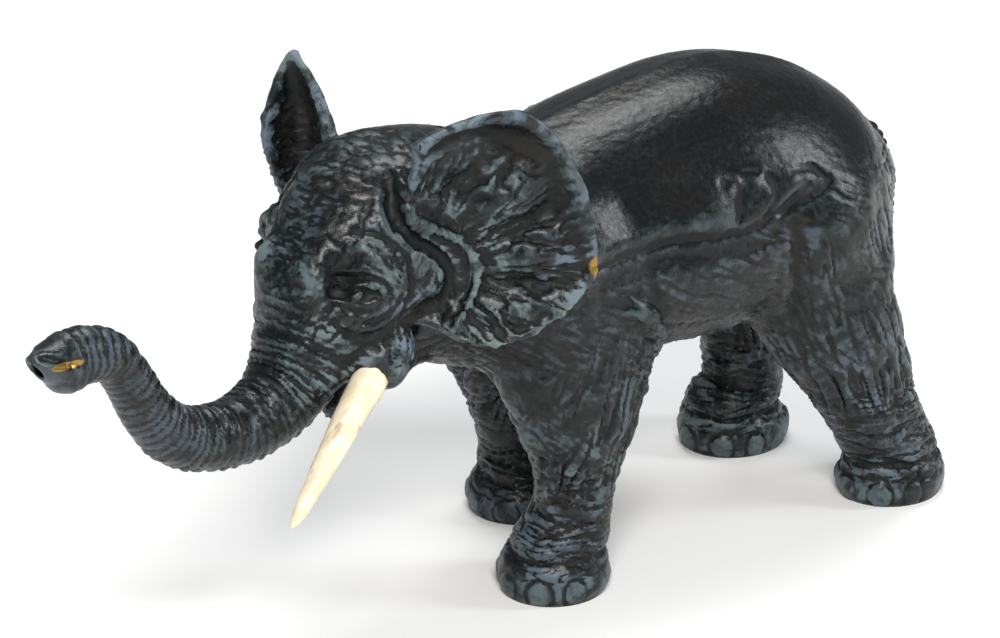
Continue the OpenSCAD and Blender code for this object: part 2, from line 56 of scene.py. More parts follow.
# Stations: x, y, z, half width, half size above (rear on a leg), half size below
TORSO = [
    [-104, 0, 104, 26, 24, 26], [-90, 0, 101, 30, 32, 30], [-70, 0, 98, 35, 35, 33],
    [-48, 0, 96, 38, 40.5, 35], [-24, 0, 96, 40, 45.5, 36], [-4, 0, 96, 41, 48.5, 36],
    [14, 0, 96, 41, 47.5, 34], [30, 0, 96, 39, 43, 33], [44, 0, 95, 34, 35.5, 31],
    [56, 0, 93, 27, 27, 27], [66, 0, 91, 18, 19, 20], [72, 0, 89, 11, 12, 14],
    [75, 0, 87, 4, 5, 5],
]
LEGS = {
    "left_fore": [
        [-64, -14, 120, 12, 14, 14], [-62, -20, 104, 16, 22, 20], [-60, -23, 84, 17, 25, 22],
        [-57, -25, 68, 16.5, 27, 24], [-56, -26, 50, 14.5, 20, 19], [-57, -26.5, 34, 12.5, 13, 12.5],
        [-58, -26, 22, 12.5, 12, 12.5], [-61, -25.5, 13, 14.5, 14.5, 15],
        [-63, -25.3, 5, 16.5, 17, 17.5], [-63, -25.3, -3, 14, 14.5, 15],
    ],
    "right_fore": [
        [-66, 14, 120, 12, 14, 14], [-64, 19, 104, 16, 22, 20], [-60, 23, 84, 17, 22, 20],
        [-55, 25, 66, 15, 17, 18], [-48, 26, 46, 13, 13, 14], [-44, 26, 30, 12.5, 12, 12],
        [-42, 26, 21, 12.5, 12, 12], [-41, 25.5, 12, 14.5, 15, 15.5],
        [-41, 25.3, 5, 16.5, 17, 17.5], [-41, 25.3, -3, 14, 14.5, 15],
    ],
    "left_hind": [
        [26, -10, 118, 12, 14, 16], [31, -16, 104, 17, 23, 24], [35, -20, 84, 19, 25, 26],
        [37, -24, 66, 18, 23, 24], [43, -27, 50, 15.5, 20, 19], [50, -28, 36, 13.5, 17, 16],
        [57, -28, 22, 12.5, 14.5, 15], [61, -28, 13, 14, 15.5, 17],
        [62, -28, 5, 16, 17, 18.5], [62, -28, -3, 13.5, 14.5, 15.5],
    ],
    "right_hind": [
        [26, 10, 118, 12, 14, 16], [31, 16, 104, 17, 23, 24], [35, 20, 84, 19, 25, 25],
        [38, 24, 66, 17, 20, 20], [42, 27, 48, 14, 15, 15], [45, 28, 32, 13, 13, 13.5],
        [46, 28, 21, 13, 13, 14.5], [43, 28, 12, 15, 16.5, 18],
        [43, 28, 5, 16.5, 18, 19], [43, 28, -3, 14, 15.5, 16.5],
    ],
}
HEAD = [
    [-84, 0, 110, 24, 30, 28], [-98, 0, 113, 28, 28, 30], [-112, 0, 114, 29, 25, 30],
    [-124, 0, 109, 26, 21, 27], [-133, 0, 100, 21, 16, 22], [-141, 0, 89, 16, 12.5, 16],
    [-151, 0, 78.5, 12, 11, 12], [-165, 0, 74, 10.2, 9.8, 10], [-180, 0, 75.5, 9, 9, 9],
    [-192, 0, 81, 8.2, 8.3, 8.3], [-201, 0, 91, 7.4, 7.4, 7.4], [-207, 0, 102, 6.8, 6.8, 6.8],
    [-213, 0, 110, 6.8, 6.8, 7], [-222, 0, 113.5, 7, 7.8, 8], [-231, 0, 114.5, 7, 6.4, 7.4],
    [-237, 0, 117, 5, 4, 3.5], [-240, 0, 118, 2, 1.6, 1.6],
]
JAW = [
    [-104, 0, 86, 14, 12, 12], [-116, 0, 77, 10, 9, 9], [-126, 0, 70, 6, 5, 5],
    [-133, 0, 66.5, 2, 2, 2],
]
TAIL = [
    [58, 0, 112, 2, 2, 2], [66, 0, 110.5, 4, 3.2, 3.5], [73, 0, 104, 3.8, 3, 3.4],
    [77.8, 0, 90, 3, 2.6, 3], [78.5, 0, 72, 2.6, 2.2, 2.6], [78, 0, 58, 3.4, 2.6, 3],
    [77.5, 0, 44, 1.2, 1, 1],
]
LEFT_TUSK = [
    [-130, -18, 87, 5, 5, 5], [-136, -19, 82, 5, 5, 5], [-143, -20, 76.5, 4.6, 4.6, 4.6],
    [-152, -21, 68, 3.7, 3.7, 3.7], [-160, -22, 61, 2.9, 2.9, 2.9], [-167, -23, 55, 2, 2, 2],
    [-170, -23, 52, 0.6, 0.6, 0.6],
]
RIGHT_TUSK = [
    [-130, -16, 86, 5, 5, 5], [-134, -16.5, 80, 5, 5, 5], [-138, -17, 73, 4.6, 4.6, 4.6],
    [-142, -17, 65.5, 3.8, 3.8, 3.8], [-146, -17, 59.5, 2.9, 2.9, 2.9],
    [-149, -17, 55, 2, 2, 2], [-150.5, -17, 52.5, 0.6, 0.6, 0.6],
]
# Ribs of each ear in the head's frame: root, middle, rim. The right ear is cupped forward.
LEFT_EAR = [
    [[-118, -17, 127], [-125, -27, 146], [-126, -30, 152]],
    [[-117, -19, 126], [-119, -31, 147], [-119, -34, 158]],
    [[-115, -21, 124], [-111, -35, 146], [-112, -39, 161]],
    [[-113, -22, 122], [-104, -38, 141], [-100, -43, 160]],
    [[-112, -23, 119], [-99, -40, 134], [-90, -47, 151]],
    [[-111, -23, 115], [-97, -40, 126], [-82, -50, 136]],
    [[-111, -23, 112], [-97, -40, 118], [-79, -52, 122]],
    [[-111, -23, 109], [-97, -40, 112], [-78, -53, 109]],
    [[-112, -22, 105], [-100, -38, 105], [-86, -52, 101]],
    [[-114, -21, 102], [-106, -35, 100], [-94, -48, 95]],
    [[-116, -20, 99], [-111, -32, 97], [-103, -43, 91]],
    [[-118, -19, 97], [-116, -28, 95], [-111, -37, 91]],
]
RIGHT_EAR = [
    [[-110, 16, 131], [-103, 31, 146], [-101, 43, 157.5]],
    [[-111, 18, 128], [-99, 35, 142], [-101, 47, 154]],
    [[-112, 20, 124], [-96, 38, 136], [-103, 50, 146]],
    [[-112, 22, 120], [-95, 40, 129], [-106, 51, 138]],
    [[-112, 23, 116], [-94, 42, 122], [-107, 51, 130]],
    [[-112, 23, 113], [-93, 43, 116], [-105, 51, 123]],
    [[-112, 23, 110], [-93, 43, 110], [-102, 51, 115]],
    [[-112, 23, 107], [-94, 43, 104], [-99, 50, 106]],
    [[-113, 22, 104], [-97, 40, 99], [-98, 47, 98]],
    [[-114, 21, 101], [-102, 36, 96], [-101, 43, 93]],
    [[-116, 20, 99], [-109, 31, 94], [-106, 37, 90]],
]


# ---- curves and closed meshes through stations ----

def along(rows, u):
    i = min(int(u), len(rows) - 2)
    t = u - i
    a, b, c, d = rows[max(i - 1, 0)], rows[i], rows[i + 1], rows[min(i + 2, len(rows) - 1)]
    return 0.5 * (2 * b + (c - a) * t + (2 * a - 5 * b + 4 * c - d) * t * t
                  + (3 * b - a - 3 * c + d) * t ** 3)


def refine(rows, steps):
    rows = np.asarray(rows, float)
    return np.array([along(rows, k * (len(rows) - 1) / steps) for k in range(steps + 1)])


def unit(v):
    return v / np.maximum(np.linalg.norm(v, axis=-1, keepdims=True), 1e-9)


def loft(stations, steps, sides=48):
    rows = refine(stations, steps)
    centre = rows[:, :3]
    ahead = np.vstack([centre[1:], centre[-1:]]) - np.vstack([centre[:1], centre[:-1]])
    across = np.array([0.0, 1.0, 0.0])
    up = unit(np.cross(unit(ahead), across))
    turn = np.arange(sides) * 2 * math.pi / sides
    high = np.where(np.sin(turn)[None] > 0, rows[:, 4:5], rows[:, 5:6]) * np.sin(turn)[None]
    rings = (centre[:, None] + across * (rows[:, 3:4] * np.cos(turn)[None])[..., None]
             + up[:, None] * high[..., None])
    points = np.vstack([rings.reshape(-1, 3), centre[:1], centre[-1:]])
    tris = []
    for i in range(steps):
        for k in range(sides):
            a, b = i * sides + k, i * sides + (k + 1) % sides
            tris += [[b, a, b + sides], [a, a + sides, b + sides]]
    n = (steps + 1) * sides
    for k in range(sides):
        j = (k + 1) % sides
        tris += [[k, j, n], [steps * sides + j, steps * sides + k, n + 1]]
    return points, np.array(tris)


def ear_sheet(ribs, steps, across):
    """Middle surface of an ear, rib by rib and from root to rim."""
    ribs = np.asarray(ribs, float)
    rows = np.array([along(ribs, k * (len(ribs) - 1) / steps) for k in range(steps + 1)])
    t = np.linspace(0, 1, across + 1)[None, :, None]
    bend = 2 * rows[:, 1:2] - 0.5 * (rows[:, 0:1] + rows[:, 2:3])
    return rows[:, 0:1] * (1 - t) ** 2 + bend * 2 * t * (1 - t) + rows[:, 2:3] * t * t


def sheet_normals(sheet):
    outward = np.sign(np.mean(sheet[..., 1]))
    normal = unit(np.cross(np.gradient(sheet, axis=1), np.gradient(sheet, axis=0)))
    return normal * np.where(normal[..., 1:2] * outward - normal[..., :1] * 0.3 < 0, -1, 1)


def ear_leaf(ribs, folds, steps=72, across=28):
    """A closed leaf on an ear's sheet, which folds(points, t) moves outwards first."""
    sheet = ear_sheet(ribs, steps, across)
    t = np.linspace(0, 1, across + 1)
    if folds is not None:
        sheet = sheet + sheet_normals(sheet) * folds(sheet, t[None, :])[..., None]
    normal = sheet_normals(sheet)
    half = 2.1 - 1.1 * t + 0.6 * np.exp(-((t - 0.96) / 0.05) ** 2)
    front = sheet + normal * half[None, :, None]
    rear = sheet - normal * half[None, :, None]
    w = across + 1
    n = (steps + 1) * w
    quads = []
    for i in range(steps):
        for j in range(across):
            a = i * w + j
            quads += [[a, a + w, a + w + 1, a + 1], [n + a, n + a + 1, n + a + w + 1, n + a + w]]
        a, r = i * w, i * w + across
        quads += [[r, r + w, n + r + w, n + r], [a, n + a, n + a + w, a + w]]
    for j in range(across):
        a = steps * w + j
        quads += [[j, j + 1, n + j + 1, n + j], [a, n + a, n + a + 1, a + 1]]
    quads = np.array(quads)
    points = np.vstack([front.reshape(-1, 3), rear.reshape(-1, 3)])
    tris = np.vstack([quads[:, [0, 1, 2]], quads[:, [0, 2, 3]]])
    if volume(points, tris) < 0:
        tris = tris[:, ::-1]
    return points, tris


def volume(points, tris):
    a, b, c = (points[tris[:, k]] for k in range(3))
    return np.einsum("ij,ij->i", a, np.cross(b, c)).sum() / 6


def turned(p, yaw):
    q = np.asarray(p, float) - PIVOT
    c, s = math.cos(yaw), math.sin(yaw)
    x, y = c * q[..., 0] - s * q[..., 1], c * q[..., 1] + s * q[..., 0]
    return np.stack([x, y, q[..., 2]], -1) + PIVOT


def into_head(p):
    return turned(p, -YAW)


def from_head(p):
    return turned(p, YAW)


def one_side(p):
    """The same places with |y| for y, for what is alike on both sides."""
    return p * [1, 0, 1] + np.abs(p) * [0, 1, 0]


def leaning(p, c, s):
    return p @ np.array([[c, 0, s], [0, 1, 0], [-s, 0, c]])


# ---- signed distance fields ----

def field(points, tris):
    grid = vdb.FloatGrid.createLevelSetFromPolygons(
        np.ascontiguousarray(points, np.float32), triangles=np.ascontiguousarray(tris, np.uint32),
        transform=vdb.createLinearTransform(voxelSize=VOXEL), halfWidth=BAND / VOXEL)
    out = np.empty(SHAPE, np.float32)
    grid.copyToArray(out, ijk=tuple(int(n) for n in FIRST))
    return out


def blend(a, b, k):
    """Union of two sets of distances, with a fillet of about k."""
    h = np.clip(0.5 + 0.5 * (b - a) / k, 0, 1)
    return b * (1 - h) + a * h - k * h * (1 - h)


def join(a, b, k):
    """Works field b into field a."""
    near = (a < BAND - 0.01) | (b < BAND - 0.01)
    a[near] = blend(a[near], b[near], k)


def window(low, high, spare=0):
    """The part of a field's array between two corners, and the places of its points."""
    i0 = np.maximum(np.floor((low - LOW) / VOXEL).astype(int), 0)
    i1 = np.minimum(np.ceil((high - LOW) / VOXEL).astype(int) + spare, SHAPE)
    axes = [(np.arange(i0[n], i1[n]) + FIRST[n]) * VOXEL for n in range(3)]
    part = tuple(slice(i0[n], i1[n]) for n in range(3))
    return part, np.stack(np.meshgrid(*axes, indexing="ij"), -1)


def add_egg(a, at, r, k):
    """Joins an ellipsoid to a field."""
    at, r = np.asarray(at, float), np.asarray(r, float)
    reach = r.max() + BAND
    part, p = window(at - reach, at + reach)
    p = p - at
    k0 = np.linalg.norm(p / r, axis=-1)
    k1 = np.maximum(np.linalg.norm(p / r ** 2, axis=-1), 1e-6)
    egg = np.clip(k0 * (k0 - 1) / k1, -BAND, BAND).astype(np.float32)
    a[part] = blend(a[part], egg, k)


def rope(a, path, radii, k, carve=False):
    """Joins a round rope along a path to a field, or carves it out, with a fillet of k."""
    path = refine(path, 16)
    radii = np.interp(np.linspace(0, 1, len(path)), np.linspace(0, 1, len(radii)), radii)
    reach = radii.max() + k + 2
    part, p = window(path.min(0) - reach, path.max(0) + reach, 1)
    p = p.astype(np.float32)
    best = np.full(p.shape[:3], 99.0, np.float32)
    for (q0, q1), (r0, r1) in zip(zip(path[:-1], path[1:]), zip(radii[:-1], radii[1:])):
        v = q1 - q0
        t = np.clip(((p - q0) @ v) / max(v @ v, 1e-9), 0, 1)
        away = np.linalg.norm(p - q0 - t[..., None] * v, axis=-1)
        best = np.minimum(best, away - (r0 + (r1 - r0) * t))
    sign = -1 if carve else 1
    a[part] = sign * blend(a[part] * sign, best, k)


def surface(values, level=0.0):
    grid = vdb.FloatGrid(float(BAND))
    grid.copyFromArray(np.ascontiguousarray(values), ijk=tuple(int(n) for n in FIRST))
    grid.transform = vdb.createLinearTransform(voxelSize=VOXEL)
    points, quads = grid.convertToQuads(isovalue=level)
    points = points.astype(float)
    a, b, c = (points[quads[:, k]] for k in range(3))
    if np.einsum("ij,ij->i", np.cross(b - a, c - a), a - points.mean(0)).sum() < 0:
        quads = quads[:, ::-1]
    return points, quads


# ---- meshes, normals and booleans ----

def mesh_object(name, points, faces):
    """points in millimetres in the figure's frame; faces all of one size."""
    mesh = bpy.data.meshes.new(name)
    size = faces.shape[1]
    mesh.vertices.add(len(points))
    mesh.vertices.foreach_set("co", ((points + MIDDLE) / 1000).astype(np.float32).ravel())
    mesh.loops.add(faces.size)
    mesh.loops.foreach_set("vertex_index", faces.astype(np.int32).ravel())
    mesh.polygons.add(len(faces))
    mesh.polygons.foreach_set("loop_start", np.arange(0, faces.size, size, dtype=np.int32))
    mesh.update(calc_edges=True)
    mesh.validate()
    made = bpy.data.objects.new(name, mesh)
    bpy.context.scene.collection.objects.link(made)
    return made


def points_of(o):
    co = np.empty(len(o.data.vertices) * 3, np.float32)
    o.data.vertices.foreach_get("co", co)
    return co.reshape(-1, 3).astype(float) * 1000 - MIDDLE


def vertex_normals(points, faces):
    a, b, c = (points[faces[:, k]] for k in range(3))
    flat = np.cross(b - a, c - a)
    if faces.shape[1] == 4:
        flat += np.cross(c - a, points[faces[:, 3]] - a)
    total = np.zeros_like(points)
    for k in range(faces.shape[1]):
        for n in range(3):
            total[:, n] += np.bincount(faces[:, k], flat[:, n], len(points))
    return unit(total)


def edges_of(faces):
    return np.concatenate([faces[:, [k, (k + 1) % faces.shape[1]]] for k in range(faces.shape[1])])


def smoothed(values, edges, rounds):
    """Averages values over each point's neighbours along the edges."""
    ring = np.concatenate([edges, edges[:, ::-1]])
    count = np.bincount(ring[:, 0], minlength=len(values))[:, None]
    values = values.reshape(len(values), -1)
    for _ in range(rounds):
        mean = np.stack([np.bincount(ring[:, 0], values[ring[:, 1], n], len(values))
                         for n in range(values.shape[1])], -1) / count
        values = 0.5 * values + 0.5 * mean
    return values


def boolean(o, tool, how):
    change = o.modifiers.new("cut", "BOOLEAN")
    change.operation = how
    change.solver = "MANIFOLD"
    change.object = tool
    graph = bpy.context.evaluated_depsgraph_get()
    made = bpy.data.meshes.new_from_object(o.evaluated_get(graph))
    o.modifiers.clear()
    old, o.data = o.data, made
    bpy.data.meshes.remove(old)
    return o


def copy_of(o, name):
    twin = bpy.data.objects.new(name, o.data.copy())
    bpy.context.scene.collection.objects.link(twin)
    return twin


def drop(*objs):
    for o in objs:
        mesh = o.data
        bpy.data.objects.remove(o)
        bpy.data.meshes.remove(mesh)


BOX_FACES = np.array([[0, 3, 2, 1], [4, 5, 6, 7], [0, 1, 5, 4], [1, 2, 6, 5], [2, 3, 7, 6],
                      [3, 0, 4, 7]])


# Ends of boxes that are past the figure: in front, behind, to each side and above
FRONT, REAR, SIDE, ABOVE = -300, 100, 80, 200


def box_tool(x0, x1, y0, y1, z0, z1):
    points = np.array([[x0, y0, z0], [x1, y0, z0], [x1, y1, z0], [x0, y1, z0],
                       [x0, y0, z1], [x1, y0, z1], [x1, y1, z1], [x0, y1, z1]], float)
    return mesh_object("tool", points, BOX_FACES)


def rod_tool(start, end, d, sides=32):
    start, end = np.asarray(start, float), np.asarray(end, float)
    way = unit(end - start)
    side = unit(np.cross(way, [0.0, 0.0, 1.0] if abs(way[2]) < 0.9 else [1.0, 0.0, 0.0]))
    over = np.cross(way, side)
    turn = np.arange(sides) * 2 * math.pi / sides
    ring = (side * np.cos(turn)[:, None] + over * np.sin(turn)[:, None]) * d / 2
    points = np.vstack([start + ring, end + ring, [start], [end]])
    n = 2 * sides
    tris = []
    for k in range(sides):
        j = (k + 1) % sides
        tris += [[k, j, sides + j], [k, sides + j, sides + k], [j, k, n],
                 [sides + k, sides + j, n + 1]]
    return mesh_object("tool", points, np.array(tris))


def cut(o, tool, how="DIFFERENCE"):
    boolean(o, tool, how)
    drop(tool)
    return o


# ---- noise and sculpting strokes ----

def noise(p, scale, seed=0):
    """Smooth value noise from -1 to 1; scale is a size in mm, or one for each axis."""
    q = p / np.asarray(scale, float) + seed * 17.31
    i = np.floor(q).astype(np.int64)
    f = q - i
    f = f * f * (3 - 2 * f)
    total = np.zeros(len(p))
    for dx in (0, 1):
        for dy in (0, 1):
            for dz in (0, 1):
                h = ((i[:, 0] + dx) * 374761393 + (i[:, 1] + dy) * 668265263
                     + (i[:, 2] + dz) * 2147483647 + seed * 144665) & 0xFFFFFFFF
                h = ((h ^ (h >> 13)) * 1274126177) & 0xFFFFFFFF
                h = (h ^ (h >> 16)) & 0xFFFFFF
                w = (np.where(dx, f[:, 0], 1 - f[:, 0]) * np.where(dy, f[:, 1], 1 - f[:, 1])
                     * np.where(dz, f[:, 2], 1 - f[:, 2]))
                total += w * h / 0xFFFFFF
    return total * 2 - 1


def rough(p, scale, octaves=3, seed=0):
    total = np.zeros(len(p))
    size = 1.0
    for k in range(octaves):
        total += noise(p, np.asarray(scale, float) * size, seed + k) * size
        size *= 0.5
    return total


def creases(p, scale, width=0.14, seed=0):
    """Thin grooves, 0 to 1, in a net that is stretched like scale."""
    n = rough(p, scale, 2, seed)
    return np.exp(-(n / width) ** 2)


def step(a, b, x):
    t = np.clip((x - a) / (b - a), 0, 1)
    return t * t * (3 - 2 * t)


def blob(p, at, r):
    return np.exp(-(((p - np.asarray(at, float)) / np.asarray(r, float)) ** 2).sum(-1))


def stroke(p, path, width):
    """1 on a polyline, falling off over width on both sides, with soft ends."""
    path = np.asarray(path, float)
    best = np.full(len(p), 1e9)
    near = np.all((p > path.min(0) - 4 * width) & (p < path.max(0) + 4 * width), axis=-1)
    q = p[near]
    d2 = np.full(len(q), 1e9)
    for a, b in zip(path[:-1], path[1:]):
        v = b - a
        t = np.clip(((q - a) @ v) / (v @ v), 0, 1)
        d2 = np.minimum(d2, ((q - a - t[:, None] * v) ** 2).sum(-1))
    best[near] = d2
    return np.exp(-best / width ** 2)


STROKE_STEPS = 24
# A stroke's distance counts this much across the figure, so that it needn't lie on the skin
SIDEWAYS = np.array([1.0, 0.3, 1.0])


def wavering(p, size, reach, seed):
    """Moves points about, so that a stroke's line isn't even."""
    return p + reach * np.stack([noise(p, size, seed + k) for k in range(3)], -1) * 0.6


TRUNK_LINE = refine([r[:3] for r in HEAD], 240)
TRUNK_AT = np.concatenate([[0], np.cumsum(np.linalg.norm(np.diff(TRUNK_LINE, axis=0), axis=1))])


def nearest(p, line):
    best = np.zeros(len(p), int)
    for k in range(0, len(p), 20000):
        q = p[k:k + 20000]
        best[k:k + 20000] = ((q[:, None] - line[None]) ** 2).sum(-1).argmin(1)
    return best


def trunk_detail(h):
    """Rings and beads along the trunk, from points in the head's frame."""
    out = np.zeros(len(h))
    on = h[:, 0] < -132
    q = h[on]
    k = nearest(q, TRUNK_LINE)
    at = TRUNK_AT[k]
    c = TRUNK_LINE[k]
    ahead = unit(TRUNK_LINE[np.minimum(k + 1, len(TRUNK_LINE) - 1)] - TRUNK_LINE[np.maximum(k - 1, 0)])
    up = unit(np.cross(ahead, [0.0, 1.0, 0.0]))
    radial = unit(q - c)
    over = (radial * up).sum(-1)
    level = at + 0.9 * noise(q, 9, 3) + 0.35 * noise(q, 3, 4)
    start = step(54, 72, at)
    tip = 1 - step(176, 184, at)
    ring = np.cos(level * 2 * math.pi / 2.7)
    deep = np.exp(-(np.abs((level / 6.4) % 1 - 0.5) * 6.4 / 0.75) ** 2)
    top = step(-0.2, 0.5, over)
    under = step(0.1, -0.5, over)
    patch = 0.55 + 0.45 * step(-0.5, 0.4, noise(q, 14, 5))
    rings = (0.16 * ring * top + 0.24 * ring * (1 - top)) * patch - 0.62 * deep * under
    beads = np.exp(-((np.abs(q[:, 1]) - 7.5 * (1 - step(60, 150, at))) / 2.2) ** 2)
    beads = beads * step(-0.1, 0.3, over) * (1 - step(120, 150, at))
    bumps = beads * (0.35 + 0.4 * np.cos(level * 2 * math.pi / 3.6))
    out[on] = (rings + bumps * start) * start * tip
    return out


# Path, half width and height of each stroke on the head, for |y| in the head's frame
HEAD_STROKES = [
    # folds over and round the eye
    ([[-142.5, 17, 115.6], [-138, 21, 115.8], [-133.5, 23, 114], [-131, 24, 110.5]], 0.8, -1.1),
    ([[-140, 18, 122.5], [-137.5, 20, 119.5], [-134, 22, 117]], 0.8, -0.7),
    ([[-135, 19, 125], [-133, 21.5, 121], [-130.5, 23.5, 117.5]], 0.8, -0.7),
    ([[-130.5, 20, 125], [-128.8, 23, 121], [-127.8, 24.5, 116]], 0.8, -0.7),
    ([[-141, 14, 127], [-134, 19, 127], [-127, 23, 122], [-124.5, 26, 112], [-125.5, 25.5, 102]],
     1.2, -1.1),
    ([[-146, 12, 104], [-142, 17, 99.5], [-136, 20.5, 97]], 1.0, -0.9),
    # creases from the crown down to the trunk, and on the cheek
    ([[-134, 5, 133], [-139, 7, 126.5], [-146, 8, 117]], 1.0, -0.8),
    ([[-126, 10, 137], [-131, 14, 131.5], [-136, 16, 127.5]], 0.9, -0.7),
    ([[-119, 14, 138.5], [-124, 19, 133], [-127, 22, 126]], 0.9, -0.8),
    ([[-146, 12, 104], [-141, 17, 98], [-134, 21, 93]], 1.0, -0.7),
    ([[-149, 10, 98], [-144, 14, 92], [-138, 17, 88]], 1.0, -0.7),
    ([[-124, 25, 98], [-121, 26, 92], [-121, 25, 86]], 1.1, -0.7),
    # mouth
    ([[-134, 9, 72], [-126, 13, 76], [-114, 19, 84]], 1.3, -1.2),
]


def head_detail(h):
    """Brow, eye, cheek and mouth, alike on both sides; h is in the head's frame."""
    p = one_side(h)
    out = np.zeros(len(p))
    out -= 2.6 * blob(p, [-143.5, 15, 115], [3.6, 7, 7])
    bent = wavering(p, 5, 0.9, 36) * SIDEWAYS
    fading = 0.8 + 0.35 * noise(p, 4, 39)
    for path, width, depth in HEAD_STROKES:
        out += depth * fading * stroke(bent, refine(path, STROKE_STEPS) * SIDEWAYS, width)
    # lip round the tusk's root
    root, way = np.array([-131.0, 18.2, 86.2]), unit(np.array([-6.0, 1.0, -5.0]))
    t = (p - root) @ way
    r = np.linalg.norm(p - root - t[:, None] * way, axis=-1)
    by = step(-9, -3, t) * (1 - step(5, 9, t))
    out += by * (0.7 * np.exp(-((r - 7.0) / 1.2) ** 2) - 0.6 * np.exp(-((r - 9.6) / 1.2) ** 2))
    # crown: a long dip down the middle
    crown = step(124, 134, p[:, 2])
    out -= 0.9 * crown * np.exp(-(p[:, 1] / 4.5) ** 2) * step(-100, -108, p[:, 0])
    # loose skin, finer towards the trunk
    mask = step(-156, -146, p[:, 0])
    slanted = leaning(p, 0.8, 0.6)
    out -= mask * 0.5 * creases(slanted, [2.6, 7, 8], 0.18, 11) * step(-0.4, 0.3, noise(p, 11, 12))
    out -= mask * 0.35 * creases(p, [5, 7, 2.2], 0.2, 14) * step(0.0, -0.5, noise(p, 11, 12))
    out += mask * 0.25 * rough(p, 4.5, 3, 13)
    return out


def leg_detail(p):
    out = np.zeros(len(p))
    z = p[:, 2]
    mask = 1 - step(66, 92, z)
    low = step(9, 14, z) * (1 - step(36, 48, z))
    high = step(26, 40, z) * (1 - 0.55 * step(54, 72, z))
    wavy = p + np.stack([0 * z, 0 * z, 2.4 * noise(p, 9, 21)], -1)
    out -= 0.7 * low * creases(wavy, [14, 14, 2.9], 0.2, 22) * step(-0.6, 0.2, noise(p, 12, 29))
    out -= 0.4 * low * creases(wavy, [9, 9, 2.0], 0.2, 23)
    # long folds that run down the leg
    fore = p[:, 0] < -10
    lean = np.where(fore, -0.22, 0.42)
    run = np.stack([p[:, 0] + lean * z, p[:, 1], z], -1) + 1.2 * noise(p, 12, 25)[:, None]
    out -= 1.2 * high * creases(run, [2.8, 4.8, 17], 0.26, 24) * step(-0.6, 0.1, noise(p, 14, 26))
    out += 0.35 * high * noise(run, [3.6, 6, 24], 30)
    out -= 0.22 * high * creases(leaning(wavy, 0.71, 0.71), [9, 8, 3.0], 0.18, 28)
    out += 0.35 * rough(p, 6, 3, 27)
    out -= 0.9 * np.exp(-((z - 13.5 - 1.2 * noise(p, 8, 28)) / 1.3) ** 2)
    return out * mask


# Middle of each sole and its radius, and the nails' places round it in degrees
FEET = {"left_fore": (-63, -25.3, 16.6), "right_fore": (-41, 25.3, 16.6),
        "left_hind": (62, -28, 17.2), "right_hind": (43, 28, 17.6)}
NAILS = (-78, -40, 0, 40, 78)


def foot_detail(p):
    out = np.zeros(len(p))
    for x, y, r in FEET.values():
        dx, dy = p[:, 0] - x, p[:, 1] - y
        on = (dx ** 2 + dy ** 2 < (r + 8) ** 2) & (p[:, 2] < 16) & (p[:, 2] > 0.2)
        turn = np.degrees(np.arctan2(dy[on], -dx[on]))
        z = p[on, 2]
        add = np.zeros(on.sum())
        for a in NAILS:
            wide = 3.5 if abs(a) < 60 else 3.1
            u = (turn - a) * math.pi / 180 * r / wide
            v = (z - 3.9) / 3.9
            d = np.sqrt(u * u + np.where(v > 0, v * v, v * v * 0.7))
            add += 0.3 * (1 - step(0.75, 1.05, d)) - 0.28 * np.exp(-((d - 1.2) / 0.2) ** 2)
        add -= 0.4 * creases(p[on], [7, 7, 2.2], 0.22, 31) * step(6, 9, z)
        out[on] += add * step(0.2, 1.2, z)
    return out


# Strokes on the body, in the same way, for |y|
BODY_STROKES = [
    # crevices between the folds on the hip
    ([[-9, 38, 109], [-7.5, 37, 114], [-8, 35.5, 120]], 1.5, -1.1),
    ([[-12, 37, 119], [-6, 35.5, 121.5], [0, 35, 121]], 1.4, -0.8),
    ([[3, 38.5, 108], [5, 37.5, 113], [3.5, 36.5, 118]], 1.4, -1.1),
    ([[8, 39, 107.5], [12, 38, 110], [18, 38, 110], [24, 37.5, 113]], 1.7, -1.2),
    ([[14, 38.5, 118], [20, 37.5, 117.5], [23, 37, 115]], 1.4, -0.6),
    # front of the haunch
    ([[11, 40, 103], [12.5, 39.5, 95], [13.5, 38, 84], [16, 35, 72]], 2.2, -1.5),
    ([[18, 40, 104], [20, 40, 92], [22, 39, 80], [25, 37, 66]], 3.2, 0.8),
    # behind the shoulder
    ([[-40, 37, 100], [-37, 38, 92], [-34, 37, 84]], 2.0, -0.8),
]
# Lower edge of the smooth back, as height against x
BACK_EDGE = ([-70, -56, -43, -30, -9, 0, 8, 16, 24],
             [103, 104.5, 105.7, 106.4, 105.1, 106, 109.4, 113, 116])


